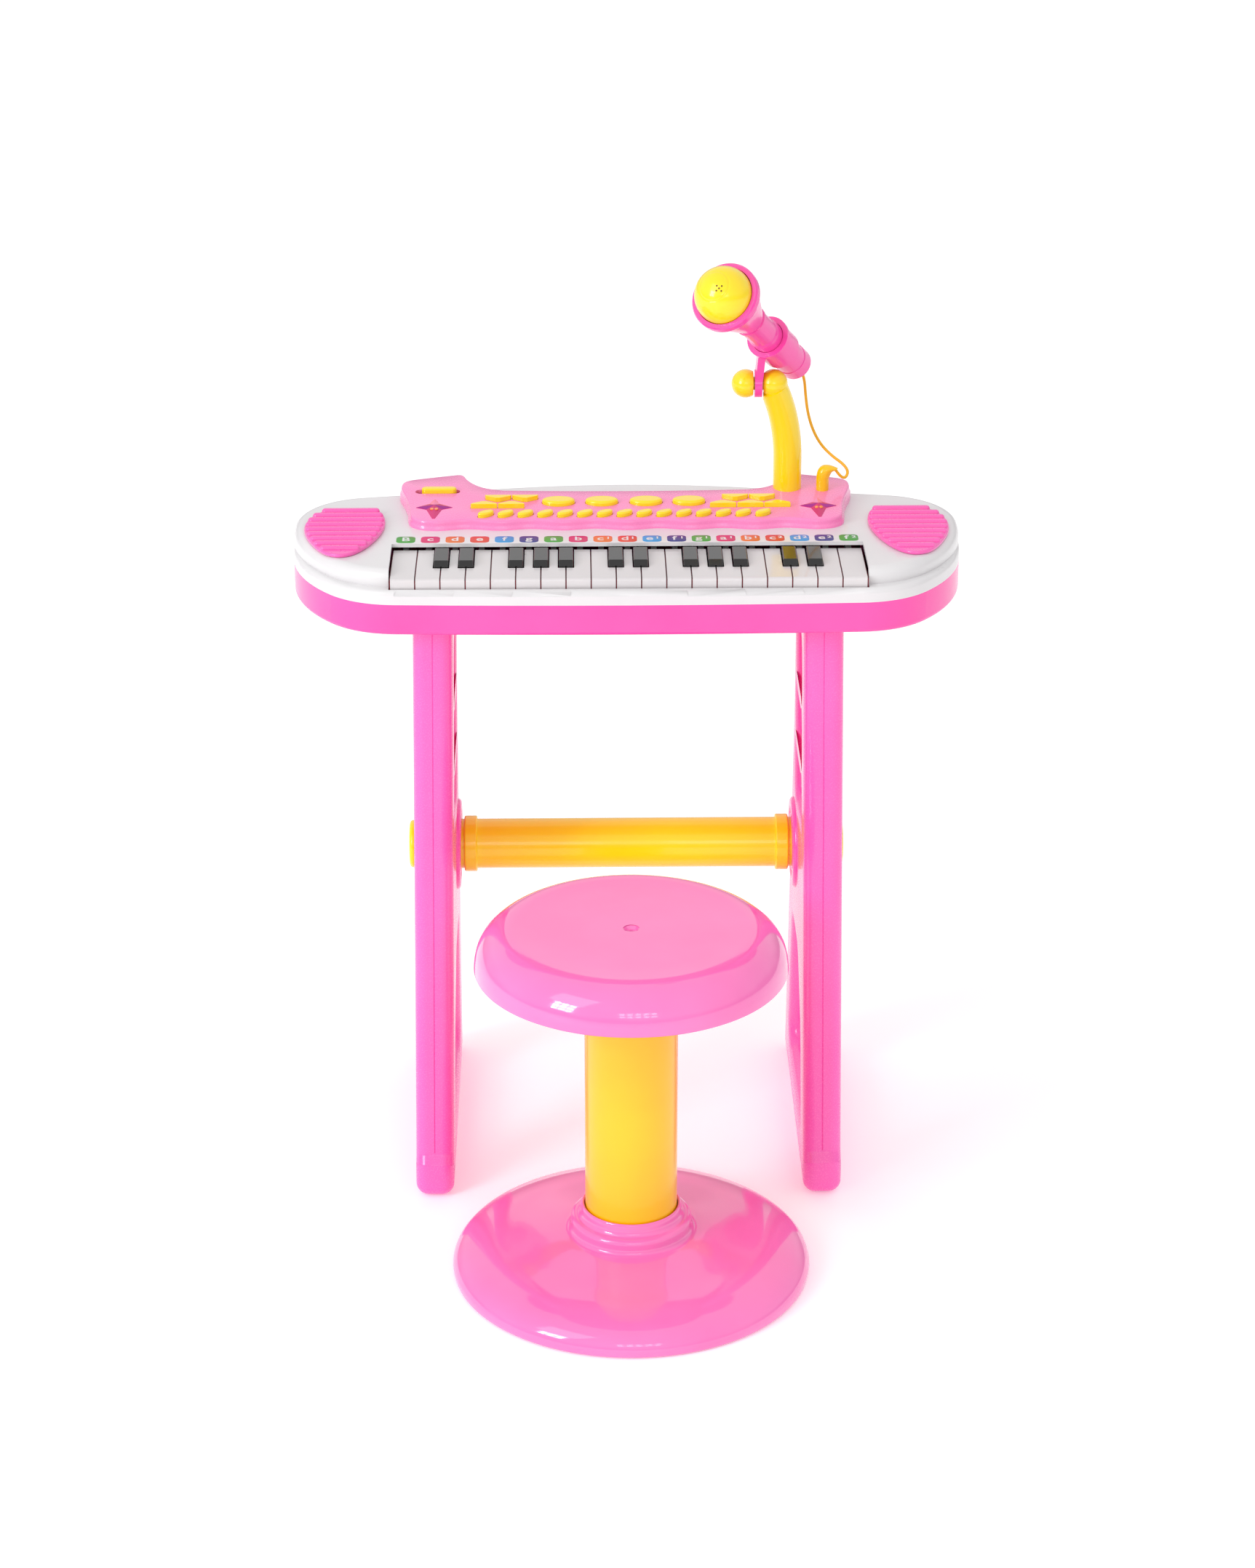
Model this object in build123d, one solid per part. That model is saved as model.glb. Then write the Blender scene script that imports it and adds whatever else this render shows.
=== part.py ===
"""Toy electronic keyboard on a two-leg stand, with microphone and stool.

Millimetres, +Z up, +X to the player's right, the player sits on the -Y side.
Pieces are drawn with the depth zero near the key fronts and written out moved
by ORIGIN_Y, so that the origin is the middle of the footprint on the floor.
"""
from build123d import *
import math
import os

os.makedirs("parts", exist_ok=True)

# ---------------------------------------------------------------- driving sizes
ORIGIN_Y = 15.0            # depth shift to the middle of the footprint

CASE_HALF_WIDTH = 227.0
CASE_BOTTOM_Z = 428.0
SEAM_Z = 449.5
LEDGE_Z = 459.0
PLATEAU_Z = 470.0
WALL = 2.5
CASE_FRONT_Y = -36.0
PLATEAU_STEP = 9.0         # how far the raised top sits behind the front edge

WHITE_KEYS = 19
BLACK_AFTER = (1, 2, 4, 5, 6, 8, 9, 11, 12, 13, 15, 16)
KEY_PITCH = 16.6
KEY_GAP = 0.9
KEY_TOP_Z = 465.5
KEY_FRONT_Y = -28.2
KEY_REAR_Y = 30.0
KEY_DEPTH = 7.0
BLACK_WIDTH = 9.6
BLACK_TOP_Z = 469.2
BLACK_FRONT_Y = -5.5
BLACK_REAR_Y = 24.0
PIVOT_Y = 72.0
PIVOT_Z = 461.0
PIVOT_ROD = 3.0
OPENING_HALF = WHITE_KEYS * KEY_PITCH / 2 + 0.8
OPENING_FRONT_Y = -29.6
OPENING_REAR_Y = 30.6

PANEL_FRONT_Y = 56.5
PANEL_FRONT_Z = 476.5
PANEL_SLOPE = 0.0575       # rise per millimetre of depth
PANEL_WALL = 2.5
PANEL_ROUND = 3.2
SCALLOP_PITCH = 43.4
SCALLOP_DEPTH = 4.0
BUTTON_RISE = 3.0
BUTTON_CLEARANCE = 0.35
BUTTON_STRIP = 2.2
BUTTON_DROP = 7.0          # from the panel's surface down to the strip's underside
LARGE_ROW_Y = 90.5
CLUSTER_FRONT_Y = 84.0
CLUSTER_BACK_Y = 95.5
LEAF_ROW_Y = 68.0

LEG_X = 134.0
LEG_WIDTH = 27.0
LEG_SPLAY = 0.86           # degrees, each foot outward
CROSSBAR_Y = 95.0
CROSSBAR_Z = 221.0
CROSSBAR_DIAMETER = 35.5
BOSS_DIAMETER = 66.0
BOSS_FACE = LEG_WIDTH / 2 + 3.2
LEG_MIDDLE_Z = 214.0
CAP_STEM = 30.0

STOOL_Y = -120.0
STOOL_RADIUS = 122.0
SEAT_RADIUS = 104.0
SEAT_BOTTOM_Z = 226.0
SEAT_TOP_Z = 255.0
POST_DIAMETER = 62.4

ARM_DIAMETER = 19.6
ARM_BASE = (112.0, 118.0)
AXLE_Y = 110.0
AXLE_Z = 557.0
AXLE_LEFT_X = 82.0
AXLE_RIGHT_X = 100.0
AXLE_DIAMETER = 9.0
STRAP_X = 90.5
STRAP_WIDTH = 5.0
CLIP_GAP = 1.0             # between the strap and each yellow ball
BALL_DIAMETER = 19.4

MIC_TAIL = Vector(118.5, 137.0, 562.0)
MIC_HEAD = Vector(63.5, 45.0, 636.7)
MIC_BODY_DIAMETER = 22.0
MIC_RIM_DIAMETER = 47.0
MIC_BALL_DIAMETER = 39.0
SLEEVE_START = 30.0        # from the microphone's tail end
SLEEVE_LENGTH = 24.0

PLUG_BASE = (136.2, 113.0)
PLUG_DIAMETER = 8.8
PLUG_TIP = Vector(145.0, 113.0, 494.0)
CORD_DIAMETER = 2.0


# ---------------------------------------------------------------- helpers
def write(name, *solids):
    """Write one node: its solids, moved to the floor-centred origin."""
    shape = solids[0] if len(solids) == 1 else Compound(children=list(solids))
    export_step(Pos(0, ORIGIN_Y, 0) * shape, "parts/" + name + ".step")


def box(x0, x1, y0, y1, z0, z1):
    """A block between two corners."""
    return Pos((x0 + x1) / 2, (y0 + y1) / 2, (z0 + z1) / 2) * Box(x1 - x0, y1 - y0, z1 - z0)


def disc(x, y, z0, z1, diameter):
    """An upright cylinder."""
    return Pos(x, y, (z0 + z1) / 2) * Cylinder(diameter / 2, z1 - z0)


def bar_x(x0, x1, y, z, diameter):
    """A cylinder lying along X."""
    return Pos((x0 + x1) / 2, y, z) * Rot(0, 90, 0) * Cylinder(diameter / 2, x1 - x0)


def prism(face, z0, z1):
    """A flat face at z = 0 pulled up between two heights."""
    return Pos(0, 0, z0) * extrude(face, z1 - z0)


def face_of(*edges):
    """A flat face from a closed ring of edges."""
    return make_face(Wire(list(edges)))


def case_outline(front_step=0.0):
    """Plan outline of the case: bowed front, round ends and a crowned back.

    front_step moves only the front and its corners back.
    """
    s = front_step
    front = ThreePointArc((-155, -33 + s), (0, CASE_FRONT_Y + s), (155, -33 + s))
    corner = TangentArc((155, -33 + s), (198, -12 + s), tangent=(0.9993, 0.0387))
    side = TangentArc((198, -12 + s), (CASE_HALF_WIDTH, 67.7 + s), tangent=corner % 1)
    flat = Line((CASE_HALF_WIDTH, 67.7 + s), (CASE_HALF_WIDTH, 82))
    shoulder = TangentArc((CASE_HALF_WIDTH, 82), (183.3, 134), tangent=(0, 1))
    back = TangentArc((183.3, 134), (100, 150), tangent=shoulder % 1)
    crown = ThreePointArc((100, 150), (0, 160.3), (-100, 150))
    right = [corner, side, flat, shoulder, back]
    left = [edge.mirror(Plane.YZ) for edge in right]
    return face_of(front, *right, crown, *left)


def inset(face, amount):
    """The same plan outline, smaller all round."""
    return offset(face, -amount, kind=Kind.TANGENT)


def panel_height(y):
    """Height of the control panel's sloping top at a depth."""
    return PANEL_FRONT_Z + (y - PANEL_FRONT_Y) * PANEL_SLOPE


def top_edges(solid, z, low_y=-1000.0):
    """Edges that lie at one height, behind a given depth."""
    return [e for e in solid.edges() if abs(e.center().Z - z) < 0.01
            and abs(e.bounding_box().size.Z) < 0.01 and e.center().Y > low_y]


# ---------------------------------------------------------------- case
def upper_case():
    """White top shell: front ledge, raised top, key opening and deck holes."""
    low = prism(case_outline(), SEAM_Z, LEDGE_Z)
    low = fillet(top_edges(low, LEDGE_Z), 3.5)
    high = prism(case_outline(PLATEAU_STEP), SEAM_Z, PLATEAU_Z)
    high = fillet(top_edges(high, PLATEAU_Z), 7.0)
    shell = low + high
    shell -= prism(inset(case_outline(), WALL), SEAM_Z - 1, LEDGE_Z - WALL)
    shell -= prism(inset(case_outline(PLATEAU_STEP), 7.0), SEAM_Z - 1, PLATEAU_Z - WALL)
    shell -= box(-OPENING_HALF, OPENING_HALF, OPENING_FRONT_Y, OPENING_REAR_Y, 440, 480)
    for side in (-1, 1):
        shell -= disc(side * 190, 52, 460, 480, 40)
        shell -= box(side * 130 - 14, side * 130 + 14, 104, 116, 460, 480)
    shell -= box(-106, 106, 60, 100, 460, 480)
    shell -= disc(PLUG_BASE[0], PLUG_BASE[1], 460, 480, 12)
    shell -= disc(ARM_BASE[0], ARM_BASE[1], 460, 480, ARM_DIAMETER + 0.8)
    return shell


def screw_places():
    """Where the case screws stand, in plan."""
    return [(x, y) for x in (-196, -70, 70, 196) for y in (20.0, 122.0) if abs(x) > 100 or y > 100]


CONTACT_STRIP_Z = 449.5
BOARD_Z = 449.5
BATTERY_X0, BATTERY_X1, BATTERY_Y0, BATTERY_Y1 = -46.0, 46.0, 20.0, 84.0


def lower_case():
    """Pink tray: bottom with leg sockets, screw posts and the battery bay."""
    tray = prism(case_outline(), CASE_BOTTOM_Z, SEAM_Z)
    tray = fillet(top_edges(tray, CASE_BOTTOM_Z), 3.0)
    tray -= prism(inset(case_outline(), WALL), CASE_BOTTOM_Z + 3, SEAM_Z + 1)
    tray += box(BATTERY_X0 - 2, BATTERY_X1 + 2, BATTERY_Y0 - 2, BATTERY_Y1 + 2, CASE_BOTTOM_Z + 1, 448)
    tray -= box(BATTERY_X0, BATTERY_X1, BATTERY_Y0, BATTERY_Y1, CASE_BOTTOM_Z - 1, 446)
    for x, y in screw_places():
        tray += disc(x, y, CASE_BOTTOM_Z + 1, SEAM_Z, 9)
        tray -= disc(x, y, CASE_BOTTOM_Z - 1, SEAM_Z + 1, 3.4)
        tray -= disc(x, y, CASE_BOTTOM_Z - 1, CASE_BOTTOM_Z + 4, 7)
    tray += box(-148, 148, 7, 9, CASE_BOTTOM_Z + 1, CONTACT_STRIP_Z)
    for x in (-54, 54):
        for y in (96, 134):
            tray += disc(x, y, CASE_BOTTOM_Z + 1, BOARD_Z, 6)
    for side in (-1, 1):
        post = box(side * 161 - 1.5, side * 161 + 1.5, PIVOT_Y - 5, PIVOT_Y + 5, CASE_BOTTOM_Z + 1, PIVOT_Z + 4)
        tray += post
        tray -= bar_x(side * 161 - 3, side * 161 + 3, PIVOT_Y, PIVOT_Z, PIVOT_ROD + 0.1)
        tray -= box(side * 131 - 8.4, side * 131 + 8.4, 9.6, 60.4, CASE_BOTTOM_Z - 1, CASE_BOTTOM_Z + 4)
    return tray


def case_screws():
    """Self-tapping screws that hold the two shells together."""
    screws = []
    for x, y in screw_places():
        head = disc(x, y, CASE_BOTTOM_Z + 1.6, CASE_BOTTOM_Z + 3.9, 6)
        head -= box(x - 2.4, x + 2.4, y - 0.4, y + 0.4, CASE_BOTTOM_Z, CASE_BOTTOM_Z + 2.6)
        head -= box(x - 0.4, x + 0.4, y - 2.4, y + 2.4, CASE_BOTTOM_Z, CASE_BOTTOM_Z + 2.6)
        screws.append(head + disc(x, y, CASE_BOTTOM_Z + 3.8, SEAM_Z + 5, 3))
    return screws


def battery_cover():
    """Lid of the battery bay, flush with the underside, with ribs for the thumb."""
    lid = box(BATTERY_X0 + 0.4, BATTERY_X1 - 0.4, BATTERY_Y0 + 0.4, BATTERY_Y1 - 0.4,
              CASE_BOTTOM_Z, CASE_BOTTOM_Z + 2.2)
    for i in range(5):
        y = BATTERY_Y0 + 8 + i * 3.0
        lid -= box(-12, 12, y, y + 1.2, CASE_BOTTOM_Z - 1, CASE_BOTTOM_Z + 0.6)
    return lid


def batteries():
    """Four AA cells side by side, each with its nub."""
    cells = []
    for i in range(4):
        y = BATTERY_Y0 + 8 + i * 16.0
        direction = 1 if i % 2 else -1
        cell = bar_x(-24.5, 24.5, y, CASE_BOTTOM_Z + 9.8, 14.2)
        nub = bar_x(24.4, 26.0, y, CASE_BOTTOM_Z + 9.8, 5.5)
        if direction < 0:
            nub = bar_x(-26.0, -24.4, y, CASE_BOTTOM_Z + 9.8, 5.5)
        cells.append(cell + nub)
    return cells


# ---------------------------------------------------------------- keys
def key_centre(index):
    """X of a white key's middle."""
    return (index - (WHITE_KEYS - 1) / 2) * KEY_PITCH


def white_key(index):
    """White key: rounded front, corners cut away beside the black keys."""
    x = key_centre(index)
    half = (KEY_PITCH - KEY_GAP) / 2
    top = box(x - half, x + half, KEY_FRONT_Y, KEY_REAR_Y, KEY_TOP_Z - KEY_DEPTH, KEY_TOP_Z)
    rounded = [e for e in top.edges().filter_by(Axis.X) if e.center().Y < 0 and e.center().Z > KEY_TOP_Z - 1]
    top = fillet(rounded, 2.0)
    notch = BLACK_WIDTH / 2 + 0.7
    for edge, boundary in ((-1, index - 1), (1, index)):
        if boundary in BLACK_AFTER:
            middle = x + edge * KEY_PITCH / 2
            top -= box(middle - notch, middle + notch, BLACK_FRONT_Y - 0.8, KEY_REAR_Y + 5, 450, 480)
    tail_x = x
    if index - 1 in BLACK_AFTER and index not in BLACK_AFTER:
        tail_x = x + 1.2
    if index in BLACK_AFTER and index - 1 not in BLACK_AFTER:
        tail_x = x - 1.2
    tail = box(tail_x - 1.9, tail_x + 1.9, BLACK_REAR_Y - 2, PIVOT_Y, PIVOT_Z - 2.5, PIVOT_Z + 2.5)
    eye = Pos(tail_x, PIVOT_Y, PIVOT_Z) * Rot(0, 90, 0) * Cylinder(3.2, 3.8)
    bore = Pos(tail_x, PIVOT_Y, PIVOT_Z) * Rot(0, 90, 0) * Cylinder(PIVOT_ROD / 2 + 0.15, 12)
    return top + tail + eye - bore


def black_key(boundary):
    """Black key: low block with a sloping nose, pivoted on the same rod."""
    x = key_centre(boundary) + KEY_PITCH / 2
    half = BLACK_WIDTH / 2
    side = Polyline((BLACK_FRONT_Y, KEY_TOP_Z - 6), (BLACK_FRONT_Y, KEY_TOP_Z + 1.0),
                    (BLACK_FRONT_Y + 4.5, BLACK_TOP_Z), (BLACK_REAR_Y, BLACK_TOP_Z),
                    (BLACK_REAR_Y, KEY_TOP_Z - 6), close=True)
    block = Pos(x - half, 0, 0) * extrude(Plane.YZ * make_face(side), BLACK_WIDTH)
    block = fillet(block.edges().filter_by(Axis.Z, reverse=True).filter_by(
        lambda e: e.center().Z > BLACK_TOP_Z - 2.8 and e.length > 3 and abs(e.center().X - x) > half - 0.1
        and e.center().Y < BLACK_REAR_Y - 1), 0.8)
    tail = box(x - 1.9, x + 1.9, BLACK_REAR_Y - 2, PIVOT_Y, PIVOT_Z - 2.5, PIVOT_Z + 2.5)
    eye = Pos(x, PIVOT_Y, PIVOT_Z) * Rot(0, 90, 0) * Cylinder(3.2, 3.8)
    bore = Pos(x, PIVOT_Y, PIVOT_Z) * Rot(0, 90, 0) * Cylinder(PIVOT_ROD / 2 + 0.15, 12)
    return block + tail + eye - bore


# ---------------------------------------------------------------- control panel
def panel_outline():
    """Plan outline of the control panel: scalloped front, waisted ends, two rear ears."""
    half_waves = 12
    front = []
    for i in range(half_waves + 1):
        lift = SCALLOP_DEPTH if i % 2 else 0.0
        front.append((-half_waves * SCALLOP_PITCH / 4 + i * SCALLOP_PITCH / 2, PANEL_FRONT_Y + lift))
    scallops = Spline(*[(-144, 61)] + front + [(144, 61)], tangents=[(1, -0.9), (1, 0.9)])
    heel = ThreePointArc((144, 61), (148.5, 66.5), (149.5, 74))
    waist = Spline((149.5, 74), (149.3, 90), (157.5, 123), tangents=[(-0.05, 1), (0.2, 1)])
    ear_side = Line((157.5, 123), (155.5, 134))
    ear_back = Line((155.5, 134), (112, 147))
    ear_fall = Spline((112, 147), (103, 128), (85, 115.5), tangents=[(-0.35, -1), (-1, -0.25)])
    right = [heel, waist, ear_side, ear_back, ear_fall]
    left = [edge.mirror(Plane.YZ) for edge in right]
    rear = ThreePointArc((85, 115.5), (0, 113.5), (-85, 115.5))
    outline = face_of(scallops, *right, rear, *left)
    corners = [v for v in outline.vertices() if v.Y > 125 and abs(v.X) > 105]
    return fillet(corners, 4.0)


def on_slope(solid):
    """Tilt a solid drawn on the flat to lie on the panel's slope, its z = 0 on the surface."""
    angle = math.degrees(math.atan(PANEL_SLOPE))
    return Pos(0, PANEL_FRONT_Y, PANEL_FRONT_Z) * Rot(angle, 0, 0) * Pos(0, -PANEL_FRONT_Y, 0) * solid


def large_button_places():
    """Four oval buttons in the middle of the panel."""
    return [(x, LARGE_ROW_Y) for x in (-46.5, -16.8, 13.6, 43.0)]


def cluster_button_places():
    """Triangular buttons: x, y and whether the flat side is at the back."""
    front = [(x, CLUSTER_FRONT_Y, False) for x in (-97.5, -78.8, 66.2, 85.0, 103.4)]
    back = [(x, CLUSTER_BACK_Y, True) for x in (-88.0, -69.4, 75.0, 93.6)]
    return front + back


def leaf_button_places():
    """Fifteen slanted leaf-shaped buttons in one row."""
    return [(-96.0 + i * 13.5, LEAF_ROW_Y) for i in range(15)]


def oval(x, y, grow=0.0):
    """Plan of a large button."""
    return Pos(x, y) * Ellipse(11.3 + grow, 7.2 + grow)


def wedge_plan(x, y, flat_back, grow=0.0):
    """Plan of a cluster button: one long side and a blunt point opposite."""
    side = Polyline((-9.3, 0), (9.3, 0), (8.2, 2.4), (1.5, 6.4), (-1.5, 6.4), (-8.2, 2.4), close=True)
    plan = fillet(make_face(side).vertices(), 0.45)
    if grow:
        plan = offset(plan, grow)
    turn = 180 if flat_back else 0
    shift = 3.2 if flat_back else -3.2
    return Pos(x, y + shift) * Rot(0, 0, turn) * plan


def leaf(x, y, grow=0.0):
    """Plan of a leaf-shaped button, leaning to the right."""
    return Pos(x, y) * Rot(0, 0, 38) * Ellipse(6.3 + grow, 3.5 + grow)


def button_plans(grow=0.0):
    """All button plans by group."""
    large = [oval(x, y, grow) for x, y in large_button_places()]
    cluster = [wedge_plan(x, y, back, grow) for x, y, back in cluster_button_places()]
    leaves = [leaf(x, y, grow) for x, y in leaf_button_places()]
    return large, cluster, leaves


def button_group(plans, places, strips, edge_round):
    """Buttons standing on the moulded strip that joins them."""
    group = []
    for plan, place in zip(plans, places):
        surface = panel_height(place[1])
        button = prism(plan, surface - BUTTON_DROP + 1.0, surface + BUTTON_RISE)
        button = fillet(top_edges(button, surface + BUTTON_RISE), edge_round)
        group.append(button)
    joined = []
    for x0, x1, y0, y1 in strips:
        floor = panel_height((y0 + y1) / 2) - BUTTON_DROP
        strip = box(x0, x1, y0, y1, floor, floor + BUTTON_STRIP)
        for button in group:
            centre = button.center()
            if x0 <= centre.X <= x1 and y0 - 8 <= centre.Y <= y1 + 8:
                strip += button
        joined.append(strip)
    return joined


SWITCH_X = -130.0
SWITCH_Y = 112.0
SWITCH_TRAVEL = 3.0
LENS_X = 131.5
LENS_Y = 82.0
LENS_BACK, LENS_WING, LENS_NOSE = 15.5, 12.5, 17.0


def lens_plan(grow=0.0):
    """Four-pointed lens plan with hollow sides: two wings, a back point and a longer nose."""
    waist = 4.0 + grow
    tips = [(0, LENS_BACK + grow), (waist, waist), (LENS_WING + grow, 0), (waist, -waist - 1),
            (0, -LENS_NOSE - grow), (-waist, -waist - 1), (-LENS_WING - grow, 0), (-waist, waist)]
    return make_face(Polyline(*tips, close=True))


def control_panel():
    """Pink raised deck with its button openings, switch slot and lens seats."""
    deck = prism(panel_outline(), -16, 0)
    deck = on_slope(fillet(top_edges(deck, 0), PANEL_ROUND))
    deck &= box(-200, 200, 0, 200, PLATEAU_Z, 520)
    deck -= on_slope(box(-115, 115, 62.9, 104, -24, -PANEL_WALL))
    for group in button_plans(BUTTON_CLEARANCE):
        for plan in group:
            deck -= prism(plan, 465, 495)
    slot = Pos(SWITCH_X, SWITCH_Y) * SlotOverall(31.0, 7.4)
    deck -= prism(slot, 465, 495)
    for side in (-1, 1):
        surface = panel_height(LENS_Y)
        deck -= Pos(side * LENS_X, LENS_Y) * prism(lens_plan(0.3), surface - 3.0, surface + 5)
    deck -= disc(PLUG_BASE[0], PLUG_BASE[1], 465, 495, PLUG_DIAMETER + 0.4)
    deck -= disc(ARM_BASE[0], ARM_BASE[1], 465, 495, ARM_DIAMETER + 0.4)
    return deck


def power_switch_knob():
    """Sliding power switch: a long rounded thumb piece on a carrier."""
    surface = panel_height(SWITCH_Y)
    thumb = Pos(SWITCH_X + 1.0, SWITCH_Y) * SlotOverall(24.0, 6.6)
    knob = prism(thumb, surface - 5.0, surface + 3.0)
    knob = fillet(top_edges(knob, surface + 3.0), 1.2)
    return knob + prism(Pos(SWITCH_X + 1.0, SWITCH_Y) * Rectangle(10, 4), PLATEAU_Z - 3.0, surface - 4.9)


def indicator_lens(side):
    """Four-pointed lens with a bevelled rim."""
    surface = panel_height(LENS_Y)
    body = Pos(side * LENS_X, LENS_Y) * prism(lens_plan(), surface - 2.9, surface + 1.6)
    edges = top_edges(body, surface + 1.6)
    return chamfer(edges, 0.9)


# ---------------------------------------------------------------- speakers
def grille_outline(side):
    """Egg-shaped grille plan: flat at the back, round toward the player."""
    edges = [ThreePointArc((-204, 97), (-214.5, 84), (-219, 60)),
             ThreePointArc((-219, 60), (-211.5, 21), (-192, 2)),
             ThreePointArc((-192, 2), (-172, 22), (-164.5, 62)),
             ThreePointArc((-164.5, 62), (-165.5, 82), (-171, 97)),
             Line((-171, 97), (-204, 97))]
    outline = face_of(*edges)
    return outline if side < 0 else outline.mirror(Plane.YZ)


def speaker_grille(side):
    """Ribbed pink grille plate, lying in its place on the top."""
    plate = prism(grille_outline(side), PLATEAU_Z, PLATEAU_Z + 2.6)
    plate = fillet(top_edges(plate, PLATEAU_Z + 2.6), 1.6)
    for i in range(9):
        y = 14.0 + i * 9.6
        spread = 24.0 - 0.011 * (y - 66) ** 2
        if y < 66:
            spread = 24.0 * math.sqrt(1 - ((66 - y) / 67) ** 2)
        middle = side * 190.0
        rib = bar_x(middle - spread, middle + spread, y, PLATEAU_Z + 2.2, 5.6)
        rib = fillet(rib.edges().filter_by(GeomType.CIRCLE), 1.5)
        plate += rib - box(-300, 300, -50, 200, 400, PLATEAU_Z + 0.2)
    return plate


def speaker(side):
    """Round loudspeaker under its grille: frame, cone and magnet."""
    x = side * 190.0
    top = PLATEAU_Z - WALL
    frame_ring = disc(x, 52, top - 2.5, top, 50) - disc(x, 52, top - 3, top + 1, 42)
    cone = Pos(x, 52, top - 8.5) * Cone(10, 22.5, 12)
    return frame_ring + cone + disc(x, 52, top - 22, top - 14, 26)


# ---------------------------------------------------------------- legs and crossbar
def leg_profile():
    """Side view of a leg in depth and height: front post, splayed rear post and a foot along the floor."""
    outer = Polyline((-10, 432), (-22, 34), (-27, 26), (-27, -4), (212, -4), (212, 16), (204, 34),
                     (104, 330), (86, 432), close=True)
    profile = make_face(outer)
    profile = fillet([v for v in profile.vertices() if -1 < v.Y < 400], 5.0)
    window = make_face(Polyline((16, 32), (162, 32), (118, 152), (54, 152), (24, 110), close=True))
    return profile - fillet(window.vertices(), 10.0)


def leg(side):
    """A leg: side panel with sunk windows, a round boss for the crossbar and a top tongue."""
    body = Pos(-LEG_WIDTH / 2, 0, 0) * extrude(Plane.YZ * leg_profile(), LEG_WIDTH)
    outer_rim = [e for e in body.edges() if abs(abs(e.center().X) - LEG_WIDTH / 2) < 0.01
                 and 0 < e.center().Z < 430]
    body = fillet(outer_rim, 4.5)
    for face_side in (-1, 1):
        depth_x = face_side * (LEG_WIDTH / 2 - 4)
        for z0, z1 in ((262, 304), (312, 352), (360, 400)):
            rear = 104 - (z0 + z1 - 660) * 0.09 - 24
            sunk = Pos(depth_x + face_side * 5, (20 + rear) / 2, (z0 + z1) / 2) * Box(10, rear - 20, z1 - z0)
            sunk = fillet(sunk.edges().filter_by(Axis.X), 9)
            body -= sunk
    body += bar_x(-BOSS_FACE, BOSS_FACE, CROSSBAR_Y, CROSSBAR_Z, BOSS_DIAMETER)
    body -= bar_x(-40, 40, CROSSBAR_Y, CROSSBAR_Z, CAP_STEM + 0.6)
    body -= Pos(-side * BOSS_FACE, CROSSBAR_Y, CROSSBAR_Z) * Rot(0, 90, 0) * Cylinder(CROSSBAR_DIAMETER / 2 + 0.6, 6)
    body = Rot(0, -side * LEG_SPLAY, 0) * (Pos(0, 0, -LEG_MIDDLE_Z) * body)
    body = Pos(side * LEG_X, 0, LEG_MIDDLE_Z) * body
    body &= box(-300, 300, -100, 300, 0, CASE_BOTTOM_Z)
    tongue = box(side * 131 - 8, side * 131 + 8, 10, 60, CASE_BOTTOM_Z - 2, CASE_BOTTOM_Z + 12)
    return body + tongue


CROSSBAR_SEAT = LEG_X - BOSS_FACE + 1.0


def crossbar():
    """Yellow tube between the legs with a raised collar at each end."""
    tube = bar_x(-CROSSBAR_SEAT, CROSSBAR_SEAT, CROSSBAR_Y, CROSSBAR_Z, CROSSBAR_DIAMETER)
    for side in (-1, 1):
        middle = side * (CROSSBAR_SEAT - 7.5)
        ring = bar_x(middle - 4.6, middle + 4.6, CROSSBAR_Y, CROSSBAR_Z, 40)
        tube += fillet(ring.edges().filter_by(GeomType.CIRCLE), 1.2)
    tube -= bar_x(-140, 140, CROSSBAR_Y, CROSSBAR_Z, CROSSBAR_DIAMETER - 5)
    return tube


def crossbar_cap(side):
    """Yellow cap on the outside of a leg, its stem plugging into the crossbar's end."""
    outside = LEG_X + BOSS_FACE
    x0, x1 = sorted((side * (outside + 0.3), side * (outside + 3.8)))
    cap = bar_x(x0, x1, CROSSBAR_Y, CROSSBAR_Z, 34)
    dome = [e for e in cap.edges().filter_by(GeomType.CIRCLE) if abs(e.center().X) > outside + 2]
    cap = fillet(dome, 2.6)
    s0, s1 = sorted((side * (CROSSBAR_SEAT - 12), side * outside))
    return cap + bar_x(s0, s1, CROSSBAR_Y, CROSSBAR_Z, CAP_STEM)


# ---------------------------------------------------------------- microphone and stand
MIC_AXIS = (MIC_HEAD - MIC_TAIL).normalized()
MIC_LENGTH = (MIC_HEAD - MIC_TAIL).length
MIC_PLANE = Plane(origin=MIC_TAIL, x_dir=Vector(1, 0, 0).cross(MIC_AXIS), z_dir=MIC_AXIS)


def turned(points):
    """Solid of revolution about the microphone's axis, from radius and length pairs."""
    ring = Polyline(*[(r, 0, z) for r, z in points], close=True)
    solid = revolve(make_face(ring), Axis.Z, 360)
    return MIC_PLANE.location * solid


def mic_body():
    """Pink barrel: tail cap, waist, two bands and the cone with its rim."""
    head = MIC_LENGTH
    barrel = turned([(0, 0), (9.2, 0), (11.4, 2.5), (11.4, 13), (11.0, 13.4), (11.0, 62), (10.3, 64),
                     (10.3, 84), (11.3, 84.4), (11.3, 87), (10.6, 87.4), (13.5, 97), (20.5, head - 11),
                     (22.6, head - 8), (MIC_RIM_DIAMETER / 2, head - 6), (MIC_RIM_DIAMETER / 2, head - 2),
                     (22.6, head - 0.6), (20.0, head - 0.6), (18.6, head - 9), (8.0, 96), (8.0, 4), (0, 4)])
    return barrel


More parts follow.
